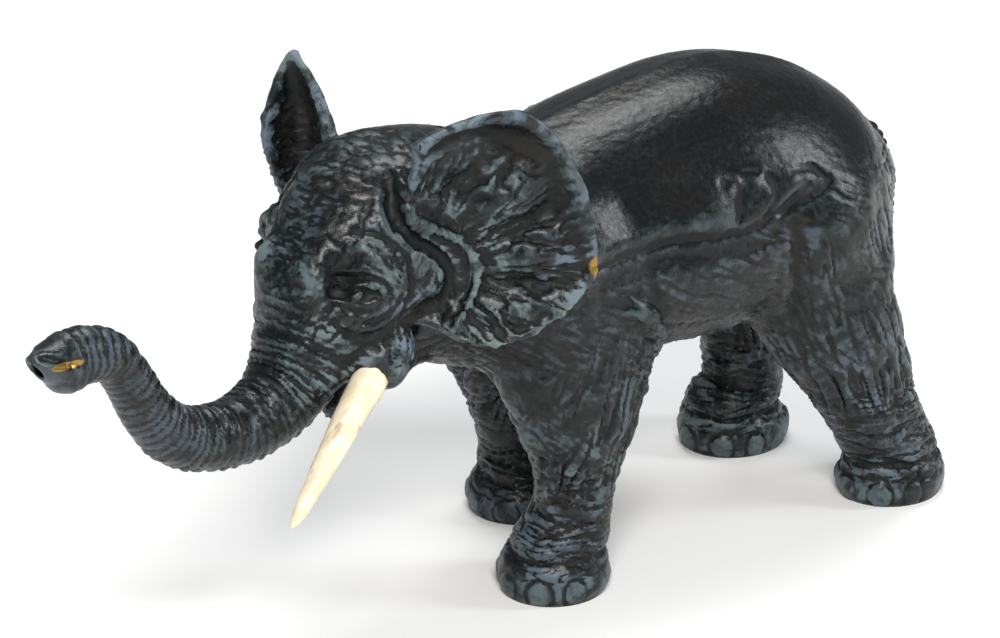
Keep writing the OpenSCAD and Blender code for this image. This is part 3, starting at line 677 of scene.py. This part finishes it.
def body_detail(p):
    q = one_side(p)
    out = np.zeros(len(p))
    z = p[:, 2]
    bent = wavering(q, 6, 1.4, 33) * SIDEWAYS
    fading = 0.75 + 0.45 * noise(p, 5, 34)
    for path, width, depth in BODY_STROKES:
        out += depth * fading * stroke(bent, refine(path, STROKE_STEPS) * SIDEWAYS, width)
    for at, r, high in (([-17, 38, 113], [7.5, 8, 6], 1.3), ([-2, 36, 116], [5, 7, 5], 1.1),
                        ([12.5, 38, 114], [5.5, 6, 4], 1.0), ([32, 38, 103], [10, 9, 10], 1.6),
                        ([13, 39, 94], [7, 6, 9], -1.8), ([40, 36, 92], [5, 6, 14], 0.8)):
        out += high * blob(q, at, r)
    below = z - np.interp(p[:, 0], *BACK_EDGE) - 0.9 * noise(p, 6, 48) - 0.5 * noise(p, 2.4, 58)
    along_edge = step(-72, -62, p[:, 0]) * (1 - step(10, 20, p[:, 0])) * step(20, 28, q[:, 1])
    along_edge = along_edge * (0.75 + 0.5 * noise(p, [9, 13, 30], 35))
    out += along_edge * (0.8 * np.exp(-((below - 4.0) / 3.2) ** 2) - 1.3 * np.exp(-(below / 1.6) ** 2)
                         - 1.0 * np.exp(-((below + 4.5) / 4.5) ** 2))
    trunk = step(62, 80, z) * step(-104, -96, p[:, 0])
    belly = trunk * step(1.0, -6.0, below)
    haunch = trunk * step(-4, 26, p[:, 0] + 4 * noise(p, 9, 59)) * (1 - step(100, 116, z))
    slanted = leaning(p, 0.9, 0.44)
    out -= 0.35 * belly * creases(slanted, [13, 9, 3.2], 0.2, 41) * step(-0.6, 0.3, noise(p, 15, 42))
    run = np.stack([p[:, 0] + 0.42 * z, p[:, 1], z], -1) + 1.2 * noise(p, 12, 49)[:, None]
    out -= 0.85 * haunch * creases(run, [3.4, 6, 21], 0.26, 43) * step(-0.4, 0.3, noise(p, 14, 50))
    out += 0.3 * haunch * noise(run, [4, 7, 24], 51)
    out += trunk * (0.5 * noise(p, 24, 44) + 0.25 * rough(p, 9, 3, 45) * (1 - step(104, 124, z)))
    # ragged skin behind and below the near elbow
    ragged = blob(p, [-39, -34, 72], [11, 12, 15])
    out += ragged * (0.9 * rough(p, [5, 5, 3.2], 3, 46) - 0.9 * creases(slanted, [9, 8, 2.6], 0.24, 47))
    out += 0.6 * step(122, 136, z) * np.exp(-(p[:, 1] / 3.2) ** 2) * step(-90, -70, p[:, 0])
    return out


def ear_folds(sheet, t):
    """Large folds of the left ear, outwards, from its root to its rim."""
    ang = np.degrees(np.arctan2(sheet[..., 2] - 113, sheet[..., 0] + 118))
    far = np.hypot(sheet[..., 2] - 113, sheet[..., 0] + 118)
    inside = step(15, 25, far) * (1 - step(0.72, 0.92, t))
    wave = np.zeros_like(far)
    for a, wide, high in ((74, 17, -3.6), (47, 11, 2.2), (27, 9, -2.8), (6, 10, 2.2), (-15, 8, -2.2),
                          (-33, 9, 1.5), (-54, 9, -1.6)):
        wave += high * np.exp(-((ang - a) / wide) ** 2)
    rolled = 2.4 * np.exp(-((t - 0.97) / 0.09) ** 2) * step(-10, 40, ang)
    hollow = -2.2 * np.exp(-((t - 0.76) / 0.14) ** 2) * step(0, 45, ang)
    return wave * inside + rolled + hollow


def ear_detail(h):
    """Fine ridges of both ears; h is in the head's frame."""
    p = one_side(h)
    ang = np.arctan2(p[:, 2] - 113, p[:, 0] + 118)
    far = np.hypot(p[:, 2] - 113, p[:, 0] + 118)
    warp = 0.9 * noise(p, 11, 52) + 0.4 * noise(p, 4, 53)
    body = step(9, 17, far) * (1 - 0.9 * step(28, 42, far)) * np.where(h[:, 1] < 0, 1.0, 0.6)
    out = body * (0.38 * np.cos(ang * 17 + 5 * warp) + 0.14 * np.cos(ang * 41 + 6 * warp))
    out -= body * 0.55 * creases(np.stack([ang * 22, 0 * ang, far], -1), [2.2, 1, 13], 0.2, 54)
    patch = step(-0.2, 0.4, noise(p, 9, 57))
    return out + 0.18 * rough(p, 4, 3, 55) - 0.3 * creases(p, [5, 5, 5], 0.16, 56) * patch


# Half width of the head where the ears stand out from it, against height
HEAD_HALF_WIDTH = ([88, 100, 126, 136, 142, 160], [25, 28.5, 27.5, 23, 17, 12])


def on_ear(h):
    """1 on the ears, from points in the head's frame."""
    wide = np.abs(h[:, 1]) - np.interp(h[:, 2], *HEAD_HALF_WIDTH)
    return (step(1, 4, wide) * step(-130, -127, h[:, 0]) * (1 - step(-72, -68, h[:, 0]))
            * step(86, 90, h[:, 2]))


def detail(p):
    """How far the bronze's surface stands out, in mm."""
    h = into_head(p)
    ear = on_ear(h)
    head = step(-98, -106, h[:, 0]) * step(58, 62, h[:, 2])
    out = head * head_detail(h) * (1 - ear) + trunk_detail(h) + ear * ear_detail(h)
    body = leg_detail(p) + foot_detail(p) + body_detail(p)
    out += (1 - ear) * body * step(-106, -94, p[:, 0])
    out += 0.07 * rough(p, 1.6, 2, 61)
    return out * step(0.2, 1.4, p[:, 2])


# ---- the sculpt ----

# Deeper shapes of the head for |y|: path, radii, fillet, and whether it is carved
HEAD_ROPES = [
    ([[-126, 19, 133], [-123, 24, 124], [-116, 27, 118], [-112, 28.5, 111], [-113.5, 28, 104],
      [-117.5, 28, 97]], [1.8, 1.9, 1.7, 1.7, 1.6, 1.2], 1.0, True),
    ([[-121, 14, 142], [-125, 19, 135], [-125.5, 22, 128]], [1.4, 2.6, 2.2], 1.2, True),
]
# Slit, lids and bags of the eye, in the same way
EYE_ROPES = [
    ([[-144.5, 15, 112], [-139.5, 20.2, 110.9], [-134.5, 23, 109.6]], [1.0, 2.0, 1.0], 1.2, True),
    ([[-145, 14.5, 112.5], [-141, 19.2, 114], [-136.5, 22.4, 113.2], [-133, 23.6, 109.8]],
     [0.7, 1.0, 1.0, 0.6], 0.8, False),
    ([[-144, 15.5, 109.6], [-140, 19.6, 107.8], [-136, 22, 107.8], [-133.4, 23.2, 109.2]],
     [0.7, 0.9, 0.9, 0.6], 0.8, False),
    ([[-144, 16, 106], [-140, 19.6, 104.2], [-135, 22.2, 104.4], [-130.5, 24, 107.6]],
     [0.8, 1.1, 1.1, 0.7], 1.2, False),
    ([[-142, 17.5, 102.2], [-137, 20.4, 100.6], [-131.5, 22.8, 101.6], [-127.5, 25, 105.5]],
     [0.8, 1.1, 1.1, 0.7], 1.4, False),
]
EYEBALL = np.array([-139.4, 18.6, 110.6])
EAR_EDGE = ([[-118.5, 15.5, 139.5], [-121, 20, 135], [-121.5, 24.5, 128.5], [-115, 28.5, 124.5],
             [-109, 31, 120], [-106.5, 33.5, 114.5], [-107, 34, 108.5], [-109.5, 33.5, 103],
             [-114, 32.5, 97]], [1.0, 1.5, 1.6, 1.2, 1.1, 1.1, 1.1, 1.0, 0.8], 2.2)


def sculpt():
    whole = field(*loft(TORSO, 48, 72))
    for stations in LEGS.values():
        join(whole, field(*loft(stations, 40, 48)), 9.0)
    for side in (-1, 1):
        add_egg(whole, [26, 22 * side, 94], [21, 18, 22], 10)
        add_egg(whole, [-62, 20 * side, 100], [18, 17, 24], 10)
    points, tris = loft(HEAD, 96, 56)
    join(whole, field(from_head(points), tris), 7.0)
    points, tris = loft(JAW, 20, 40)
    join(whole, field(from_head(points), tris), 4.0)
    for side in (-1, 1):
        for at, r, k in (((-130, 16, 110), (8, 7, 10), 5), ((-127, 18, 88), (9, 8, 9), 7),
                         ((-112, 12, 131), (12, 9, 8), 7), ((-133.5, 17.5, 119), (5.5, 5.5, 6.5), 2.5),
                         ((-145, 9, 114), (4.5, 5, 7), 4)):
            add_egg(whole, from_head([at[0], at[1] * side, at[2]]), r, k)
    add_egg(whole, from_head([-228, 0, 109.6]), [6.5, 6, 4.6], 1.2)
    for side in (-1, 1):
        lip = [[-239, 2.5 * side, 119], [-234.5, 6 * side, 117.4], [-230.5, 7.5 * side, 115.8],
               [-226, 8 * side, 113]]
        rope(whole, from_head(lip), [1.2, 1.5, 1.4, 0.8], 0.8, True)
    mouth = from_head([[-241, 0, 115], [-236, 0, 114], [-230, 0, 114.5]])
    rope(whole, mouth, [1.6, 2.2, 1.2], 1.0, True)
    elbow = [[-52, -36, 91], [-44, -38.5, 88], [-37, -37, 82], [-33.5, -34, 75]]
    rope(whole, elbow, [2, 3.4, 3.4, 2], 2.5)
    rope(whole, [[-46, -42, 84], [-40, -40.5, 79], [-37, -38, 74]], [1, 1.6, 1], 1.2, True)
    for side in (-1, 1):
        flip = np.array([1, side, 1])
        for path, radii, k, carve in EYE_ROPES:
            rope(whole, from_head(np.array(path) * flip), radii, k, carve)
        add_egg(whole, from_head(EYEBALL * flip), [2.5, 2.4, 1.9], 0.4)
    plain = whole.copy()
    left, tris = ear_leaf(LEFT_EAR, ear_folds)
    ears = field(from_head(left), tris)
    right, tris = ear_leaf(RIGHT_EAR, None)
    ears = np.minimum(ears, field(from_head(right), tris))
    join(whole, ears, 3.0)
    for side in (-1, 1):
        flip = np.array([1, side, 1])
        for path, radii, k, carve in HEAD_ROPES:
            rope(whole, from_head(np.array(path) * flip), radii, k, carve)
    path, radii, k = EAR_EDGE
    rope(whole, from_head(np.array(path) * [1, -1, 1]), radii, k)
    return plain, whole


def displaced(values):
    points, quads = surface(values)
    edges = edges_of(quads)
    points = smoothed(points, edges, 2)
    normal = smoothed(vertex_normals(points, quads), edges, 3)
    moved = points + unit(normal) * detail(points)[:, None]
    moved[:, 2] = np.where(points[:, 2] < 0.4, np.minimum(moved[:, 2], points[:, 2]), moved[:, 2])
    return moved, quads


plain, whole = sculpt()
everything = mesh_object("figure_skin", *displaced(whole))
head_room = mesh_object("tool", *surface(plain, 2.6))
del whole

ears = copy_of(everything, "ears")
boolean(ears, head_room, "DIFFERENCE")
boolean(everything, head_room, "INTERSECT")
drop(head_room)
cut(everything, box_tool(FRONT, REAR, -SIDE, SIDE, 0, ABOVE), "INTERSECT")


# ---- splitting the sculpt into the castings, with the frame's own joints ----

FIT = 0.1
WALL = 3.2
TRAP_X, SEAT_Z = -11.0, 70.5
# Half length and half width of the well, the wall round it, and the depth of the frame's pocket
WELL_X, WELL_Y, WELL_WALL, POCKET_T = 21, 17, 5, 4
# Neck plug: height, half width, half width of its flange, and the flange's ends behind the neck
NECK_Z, PLUG, FLANGE, FLANGE_X = 104.0, 13, 17, (3.4, 6.4)
# Tail: the joint's half width, x and z of the tang and of the cross key; the block, the axis
TANG_Y, TANG, KEY = 3, (60, 70, 104, 110), (60, 64, 100, 111)
TAIL_BLOCK_X, TAIL_X = 58, 78
SLOT_X, SLOT_Y, SLOT_Z = (-87, -57), 2.3, 117
SCREWS = [(-84, 81), (50, 86), (-38, 127), (27, 126)]
SCREW_D, SCREW_HEAD_D, SCREW_DEPTH, SCREW_BITE, BOSS_D = 4, 7, 5, 15, 10
DOWELS = [(-6, 139.5), (30, 69)]
DOWEL_D, DOWEL_REACH, DOWEL_BOSS_D, DOWEL_BOSS_REACH = 3, 6, 8, 8.5
FRAME_SCREW_X, FRAME_SCREW_Y, FRAME_SCREW_D, FRAME_HEAD_D, FRAME_HEAD_Z = 23.5, 19.5, 2.6, 4.72, 4.6
SPIGOT_IN, SPIGOT_OUT, SPIGOT_D = 9.0, 13.0, 6


def skin_y(x, z):
    """Half width of the plain barrel at x and height z."""
    rows = np.asarray(TORSO, float)
    m = [np.interp(x, rows[:, 0], rows[:, k]) for k in range(6)]
    high = m[4] if z > m[2] else m[5]
    return m[3] * math.sqrt(max(0.0, 1 - ((z - m[2]) / high) ** 2))


def chamber():
    rows = [[x, y, z, w - WALL, u - WALL, d - WALL] for x, y, z, w, u, d in TORSO if w > 3 * WALL]
    room = mesh_object("tool", *loft(rows, 30, 48))
    cut(room, box_tool(NECK_X + WALL, REAR, -SIDE, SIDE, 0, ABOVE), "INTERSECT")
    for x, z in SCREWS:
        cut(room, rod_tool([x, -SIDE, z], [x, SIDE, z], BOSS_D))
    for x, z in DOWELS:
        cut(room, rod_tool([x, -DOWEL_BOSS_REACH, z], [x, DOWEL_BOSS_REACH, z], DOWEL_BOSS_D))
    x, y = WELL_X + WELL_WALL, WELL_Y + WELL_WALL
    cut(room, box_tool(TRAP_X - x, TRAP_X + x, -y, y, 0, SEAT_Z))
    return cut(room, box_tool(TAIL_BLOCK_X, REAR, -9, 9, 96, ABOVE))


def shell(name, side):
    low, high = (0, SIDE) if side > 0 else (-SIDE, 0)
    o = cut(copy_of(everything, name), box_tool(NECK_X, REAR, low, high, -1, ABOVE), "INTERSECT")
    cut(o, chamber())
    cut(o, box_tool(TRAP_X - WELL_X, TRAP_X + WELL_X, -WELL_Y, WELL_Y, -1, SEAT_Z + 1))
    x, y = WELL_X + WELL_WALL + FIT, WELL_Y + WELL_WALL + FIT
    cut(o, box_tool(TRAP_X - x, TRAP_X + x, -y, y, SEAT_Z, SEAT_Z + POCKET_T))
    x0, x1 = NECK_X + FLANGE_X[0] - FIT, NECK_X + FLANGE_X[1] + FIT
    for start, w in ((NECK_X - 1, PLUG + FIT), (x0, FLANGE + FIT)):
        cut(o, box_tool(start, x1, -w, w, NECK_Z - w, NECK_Z + w))
    y = TANG_Y + FIT
    cut(o, box_tool(TANG[0] - FIT, TANG[1], -y, y, TANG[2] - FIT, TANG[3] + FIT))
    cut(o, box_tool(KEY[0] - FIT, KEY[1] + FIT, -y, y, KEY[2] - FIT, KEY[3] + FIT))
    cut(o, box_tool(*SLOT_X, -SLOT_Y, SLOT_Y, SLOT_Z, ABOVE))
    for x, z in DOWELS:
        cut(o, rod_tool([x, -DOWEL_REACH, z], [x, DOWEL_REACH, z], DOWEL_D))
    for x, z in SCREWS:
        seat = skin_y(x, z) - SCREW_DEPTH
        if side > 0:
            cut(o, rod_tool([x, -1, z], [x, seat + 1, z], SCREW_D + 2 * FIT))
            cut(o, rod_tool([x, seat, z], [x, SIDE, z], SCREW_HEAD_D + 4 * FIT))
        else:
            cut(o, rod_tool([x, -SCREW_BITE, z], [x, 1, z], SCREW_D))
    for sx in (-1, 1):
        x, y = TRAP_X + sx * FRAME_SCREW_X, side * FRAME_SCREW_Y
        head_z = SEAT_Z - FRAME_HEAD_Z
        cut(o, rod_tool([x, y, head_z - 1], [x, y, SEAT_Z + 1], FRAME_SCREW_D, 24))
        cut(o, rod_tool([x, y, 30], [x, y, head_z], FRAME_HEAD_D, 24))
    return o


def tusk(name, side, stations):
    root, second = np.array(stations[0][:3], float), np.array(stations[1][:3], float)
    ahead = root + (root - second) * 0.5
    points, tris = loft([[*ahead, 4.7, 4.7, 4.7], *stations], 120, 48)
    normal = vertex_normals(points, tris)
    chip = rough(points, [9, 9, 9], 2, 71) * 0.22 + 0.1 * rough(points, 2.5, 2, 72)
    points = points + normal * (chip * step(51, 60, points[:, 2]))[:, None]
    way = unit(root - second)
    ends = np.array([root + way * SPIGOT_IN, root - way * SPIGOT_OUT])
    if side > 0:
        points, tris, ends = points * [1, -1, 1], tris[:, ::-1], ends * [1, -1, 1]
    o = mesh_object(name, from_head(points), tris)
    return cut(o, rod_tool(from_head(ends[0]), from_head(ends[1]), SPIGOT_D), "UNION")


left_shell = shell("left_shell_skin", -1)
right_shell = shell("right_shell_skin", 1)

tail = mesh_object("tail_skin", *loft(TAIL, 160, 40))
p = points_of(tail)
faces = np.array([list(f.vertices) for f in tail.data.polygons])
n = vertex_normals(p, faces)
strand = np.arctan2(p[:, 1], p[:, 0] - TAIL_X)
tuft = 1 - step(58, 68, p[:, 2])
p += n * (0.3 * np.cos(p[:, 2] * 2 * math.pi / 3.1 + noise(p, 6, 81)) * (1 - tuft)
          + 0.45 * np.cos(strand * 9 + p[:, 2] * 0.12) * tuft)[:, None]
tail.data.vertices.foreach_set("co", ((p + MIDDLE) / 1000).astype(np.float32).ravel())
cut(tail, copy_of(everything, "tool"))
for x0, x1, z0, z1 in (TANG, KEY):
    cut(tail, box_tool(x0, x1, -TANG_Y, TANG_Y, z0, z1), "UNION")

head = cut(everything, box_tool(FRONT, NECK_X, -SIDE, SIDE, -1, ABOVE), "INTERSECT")
head.name = "head_skin"
for start, w in ((-1, PLUG), (FLANGE_X[0], FLANGE)):
    plug = box_tool(NECK_X + start, NECK_X + FLANGE_X[1], -w, w, NECK_Z - w, NECK_Z + w)
    cut(head, plug, "UNION")
tusks = [tusk("left_tusk_ivory", -1, LEFT_TUSK), tusk("right_tusk_ivory", 1, RIGHT_TUSK)]
for o in tusks:
    cut(head, copy_of(o, "tool"))

right_ear = cut(copy_of(ears, "right_ear_skin"), box_tool(-200, 0, 0, SIDE, 60, ABOVE), "INTERSECT")
left_ear = cut(ears, box_tool(-200, 0, -SIDE, 0, 60, ABOVE), "INTERSECT")
left_ear.name = "left_ear_skin"


# ---- values for the materials, kept on the meshes ----

# Places worn to bare brass on the left: the ear's edge and the trunk's lips, with their reach
WORN = [([-78.5, 52.5, 110], [3, 4, 4.5]), ([-232.5, 6.5, 115.6], [6, 4, 1.1]),
        ([-228, 6, 105.5], [3.5, 4, 1.2])]


def paint(o):
    """Keeps relief, patina and the bare brass of rubbed places as values on the mesh's points; the
    relief also keeps broad hollows black in the bronze's colour, as painted shade.
    """
    p = points_of(o)
    mesh = o.data
    mesh.validate()
    normal = np.empty(len(p) * 3, np.float32)
    mesh.vertices.foreach_get("normal", normal)
    normal = normal.reshape(-1, 3).astype(float)
    edges = np.empty(len(mesh.edges) * 2, np.int32)
    mesh.edges.foreach_get("vertices", edges)
    edges = edges.reshape(-1, 2)
    # Relief: how far each point stands out from its smoothed neighbours. The fine reach marks ridges
    # for the dry-brushed patina, and the wide reach darkens broad hollows as painted shade.
    bulge = 0.0
    for reach, share in ((1.2, 1.5), (3.6, 0.5)):
        rounds = math.ceil(2 * (reach / VOXEL) ** 2)
        bulge = bulge + share * ((p - smoothed(p, edges, rounds)) * normal).sum(-1)
    h = into_head(p)
    on_back = step(106, 120, p[:, 2]) * step(-98, -84, p[:, 0])
    face = step(-104, -116, h[:, 0]) * step(-160, -146, h[:, 0]) * (1 - step(118, 128, h[:, 2]))
    legs = 1 - step(40, 70, p[:, 2])
    region = np.clip(0.36 + 0.55 * face + 0.64 * on_ear(h) + 0.32 * legs - 0.28 * on_back, 0, 1)
    brass = np.zeros(len(p))
    q = one_side(h)
    for at, r in WORN:
        brass = np.maximum(brass, blob(q, at, r) * step(0, -4, h[:, 1]))
    for name, values in (("relief", np.clip(0.5 + bulge, 0, 1)), ("patina", region),
                         ("brass", brass)):
        layer = mesh.attributes.new(name, "FLOAT", "POINT")
        layer.data.foreach_set("value", values.astype(np.float32))


def finish_mesh(o, angle):
    mesh = o.data
    mesh.shade_smooth()
    mesh.set_sharp_from_angle(angle=math.radians(angle))


CAST = {"left_shell": left_shell, "right_shell": right_shell, "head_shell": head,
        "left_ear": left_ear, "right_ear": right_ear, "tail": tail}
for node, o in CAST.items():
    paint(o)
    finish_mesh(o, 50)
    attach(o, "figure")
    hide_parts(node)
for node, o in zip(("left_tusk", "right_tusk"), tusks):
    finish_mesh(o, 50)
    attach(o, "figure")
    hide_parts(node)


# ---- materials ----

class Recipe:
    """A node material, with short calls for the nodes that it is made of."""

    def __init__(self, name):
        self.material = bpy.data.materials.new(name)
        self.material.use_nodes = True
        self.tree = self.material.node_tree
        self.tree.nodes.clear()
        self.shader = self.new("BsdfPrincipled")
        output = self.new("OutputMaterial")
        self.tree.links.new(self.shader.outputs[0], output.inputs[0])
        coords = self.new("TexCoord")
        scale = self.new("Mapping")
        scale.inputs["Scale"].default_value = (1000, 1000, 1000)
        self.tree.links.new(coords.outputs["Object"], scale.inputs["Vector"])
        self.at = scale.outputs[0]

    def new(self, kind):
        return self.tree.nodes.new("ShaderNode" + kind)

    def feed(self, socket, value):
        if isinstance(value, bpy.types.NodeSocket):
            self.tree.links.new(value, socket)
        else:
            socket.default_value = value

    def set(self, name, value):
        self.feed(self.shader.inputs[name], value)

    def stretched(self, x, y, z):
        node = self.new("Mapping")
        node.inputs["Scale"].default_value = (x, y, z)
        self.feed(node.inputs["Vector"], self.at)
        return node.outputs[0]

    def noise(self, size, detail=3.0, rough=0.55, at=None, distortion=0.0):
        """Noise from 0 to 1, with spots of about size millimetres."""
        node = self.new("TexNoise")
        self.feed(node.inputs["Vector"], at or self.at)
        node.inputs["Scale"].default_value = 1 / size
        node.inputs["Detail"].default_value = detail
        node.inputs["Roughness"].default_value = rough
        node.inputs["Distortion"].default_value = distortion
        return node.outputs[0]

    def value(self, name):
        node = self.new("Attribute")
        node.attribute_name = name
        return node.outputs["Fac"]

    def step(self, value, low, high, to=(0.0, 1.0)):
        node = self.new("MapRange")
        node.interpolation_type = "SMOOTHSTEP"
        self.feed(node.inputs["Value"], value)
        for name, number in zip(("From Min", "From Max", "To Min", "To Max"), (low, high, *to)):
            node.inputs[name].default_value = number
        return node.outputs[0]

    def math(self, how, a, b):
        node = self.new("Math")
        node.operation = how
        self.feed(node.inputs[0], a)
        self.feed(node.inputs[1], b)
        return node.outputs[0]

    def mix(self, share, a, b):
        node = self.new("Mix")
        node.data_type = "RGBA"
        self.feed(node.inputs["Factor"], share)
        self.feed(node.inputs["A"], a)
        self.feed(node.inputs["B"], b)
        return node.outputs["Result"]

    def bump(self, height, strength, depth):
        """Bumps of a depth in millimetres."""
        node = self.new("Bump")
        node.inputs["Strength"].default_value = strength
        node.inputs["Distance"].default_value = depth / 1000
        self.feed(node.inputs["Height"], height)
        self.set("Normal", node.outputs[0])


def bronze():
    r = Recipe("black_bronze")
    relief, patina, brass = r.value("relief"), r.value("patina"), r.value("brass")
    broad = r.noise(26, 3)
    spots = r.noise(13, 6, 0.66, distortion=0.8)
    fine = r.noise(1.5, 4, 0.7)
    black = r.mix(r.step(broad, 0.45, 0.68), (0.003, 0.0045, 0.005, 1), (0.0075, 0.006, 0.005, 1))
    black = r.mix(r.step(spots, 0.5, 0.75, (0, 0.7)), black, (0.006, 0.0095, 0.012, 1))
    # Grey patina on raised places only: on fine ridges it is dry-brushed patina, and where the relief
    # is broadly hollow the bronze stays black as painted shade.
    raised = r.step(r.math("ADD", relief, r.math("MULTIPLY", fine, 0.5)), 0.72, 1.12)
    ridge_patina_and_hollow_shade = r.math("MULTIPLY", r.math("MULTIPLY", raised, patina), r.step(spots, 0.42, 0.6, (0.08, 1)))
    grey = r.mix(r.step(broad, 0.4, 0.6), (0.14, 0.19, 0.185, 1), (0.12, 0.165, 0.215, 1))
    colour = r.mix(r.math("MULTIPLY", ridge_patina_and_hollow_shade, 0.95), black, grey)
    bare = r.step(r.math("MULTIPLY", brass, r.step(spots, 0.3, 0.5)), 0.35, 0.6)
    r.set("Base Color", r.mix(bare, colour, (0.36, 0.22, 0.055, 1)))
    r.set("Metallic", bare)
    hollow = r.step(relief, 0.45, 0.2, (0, 0.3))
    gloss = r.math("ADD", r.step(fine, 0.2, 0.8, (0.2, 0.36)), r.math("MULTIPLY", ridge_patina_and_hollow_shade, 0.25))
    r.set("Roughness", r.math("ADD", gloss, hollow))
    r.shader.inputs["Specular IOR Level"].default_value = 0.3
    height = r.math("ADD", fine, r.math("MULTIPLY", r.noise(4.2, 4, 0.6), 1.4))
    r.bump(height, 0.4, 0.28)
    return r.material


def old_ivory():
    r = Recipe("old_ivory")
    grain = r.noise(2.2, 4, 0.6, at=r.stretched(0.35, 1, 0.3))
    stain = r.noise(6, 4, 0.6, at=r.stretched(0.5, 1, 0.45))
    colour = r.mix(r.step(grain, 0.35, 0.7), (0.84, 0.76, 0.58, 1), (0.72, 0.6, 0.4, 1))
    colour = r.mix(r.step(stain, 0.56, 0.7, (0, 0.8)), colour, (0.3, 0.17, 0.07, 1))
    r.set("Base Color", colour)
    r.set("Roughness", r.step(grain, 0.2, 0.8, (0.3, 0.5)))
    r.shader.inputs["Subsurface Weight"].default_value = 0.12
    r.shader.inputs["Subsurface Radius"].default_value = (0.004, 0.0025, 0.0015)
    r.shader.inputs["Subsurface Scale"].default_value = 0.4
    r.bump(r.math("ADD", grain, stain), 0.4, 0.2)
    return r.material


def metal(name, clean, aged, rough, size):
    r = Recipe(name)
    brush = r.noise(size, 4, 0.6, at=r.stretched(0.15, 1, 1))
    spots = r.noise(5, 5, 0.6)
    r.set("Base Color", r.mix(r.step(spots, 0.42, 0.66), clean, aged))
    r.shader.inputs["Metallic"].default_value = 1.0
    r.set("Roughness", r.math("ADD", r.step(spots, 0.4, 0.7, (rough, rough + 0.25)),
                              r.math("MULTIPLY", brush, 0.12)))
    r.bump(brush, 0.25, 0.05)
    return r.material


looks = {"bronze": bronze(), "ivory": old_ivory(),
         "trap_brass": metal("aged_brass", (0.5, 0.34, 0.11, 1), (0.12, 0.075, 0.025, 1), 0.3, 0.5),
         "steel": metal("brushed_steel", (0.5, 0.5, 0.49, 1), (0.2, 0.18, 0.15, 1), 0.28, 0.3)}


def dress(o, look):
    o.data.materials.clear()
    o.data.materials.append(look)


for o in CAST.values():
    dress(o, looks["bronze"])
for o in tusks:
    dress(o, looks["ivory"])
TRAP_BRASS = ("trap_frame", "trap_door", "lock_barrel", "barrel_nut", "lock_rotor", "lock_cam")
for name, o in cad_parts.items():
    if name in CAST or name in ("left_tusk", "right_tusk"):
        continue
    dress(o, looks["trap_brass" if name in TRAP_BRASS else "steel"])


# ---- floor, light and camera ----

FLOOR = 4000.0
corners = np.array([[-FLOOR, -FLOOR, 0], [FLOOR, -FLOOR, 0], [FLOOR, FLOOR, 0], [-FLOOR, FLOOR, 0]])
floor = mesh_object("floor", corners, np.array([[0, 1, 2, 3]]))
pale = Recipe("pale_floor")
pale.set("Base Color", pale.mix(pale.noise(60, 3), (0.86, 0.86, 0.86, 1), (0.9, 0.9, 0.89, 1)))
pale.shader.inputs["Roughness"].default_value = 0.9
pale.shader.inputs["Specular IOR Level"].default_value = 0.1
dress(floor, pale.material)

bpy.context.scene.view_settings.view_transform = "Standard"
world = bpy.data.worlds.new("studio")
bpy.context.scene.world = world
world.use_nodes = True
world.node_tree.nodes["Background"].inputs["Color"].default_value = (0.93, 0.96, 1.0, 1)
world.node_tree.nodes["Background"].inputs["Strength"].default_value = 0.26


def lamp(name, place, target, size, watts, colour=(1, 1, 1)):
    light = bpy.data.lights.new(name, "AREA")
    light.shape = "RECTANGLE"
    light.size, light.size_y = size
    light.energy = watts
    light.color = colour
    o = bpy.data.objects.new(name, light)
    bpy.context.scene.collection.objects.link(o)
    o.location = place
    o.rotation_euler = (Vector(target) - Vector(place)).to_track_quat("-Z", "Y").to_euler()


lamp("key", (-0.5, -0.9, 1.1), (0, 0, 0.08), (0.55, 0.55), 21, (1, 0.98, 0.95))
lamp("top", (0.25, 0.35, 1.2), (0, 0, 0.1), (0.7, 0.4), 9.5)
lamp("side", (1.1, -0.7, 0.6), (0, 0, 0.08), (0.3, 0.5), 7, (0.93, 0.97, 1))

AZIMUTH, ELEVATION, DISTANCE = math.radians(-33.5), math.radians(23), 1.104
target = Vector((0.01205, 0.0016, 0.07659))
back = Vector((math.sin(AZIMUTH) * math.cos(ELEVATION), -math.cos(AZIMUTH) * math.cos(ELEVATION),
               math.sin(ELEVATION)))
lens = bpy.data.cameras.new("camera")
lens.lens = 135.7
lens.sensor_width = 36
lens.clip_start, lens.clip_end = 0.01, 100
camera = bpy.data.objects.new("camera", lens)
bpy.context.scene.collection.objects.link(camera)
camera.location = target + back * DISTANCE
camera.rotation_euler = (-back).to_track_quat("-Z", "Y").to_euler()
bpy.context.scene.camera = camera
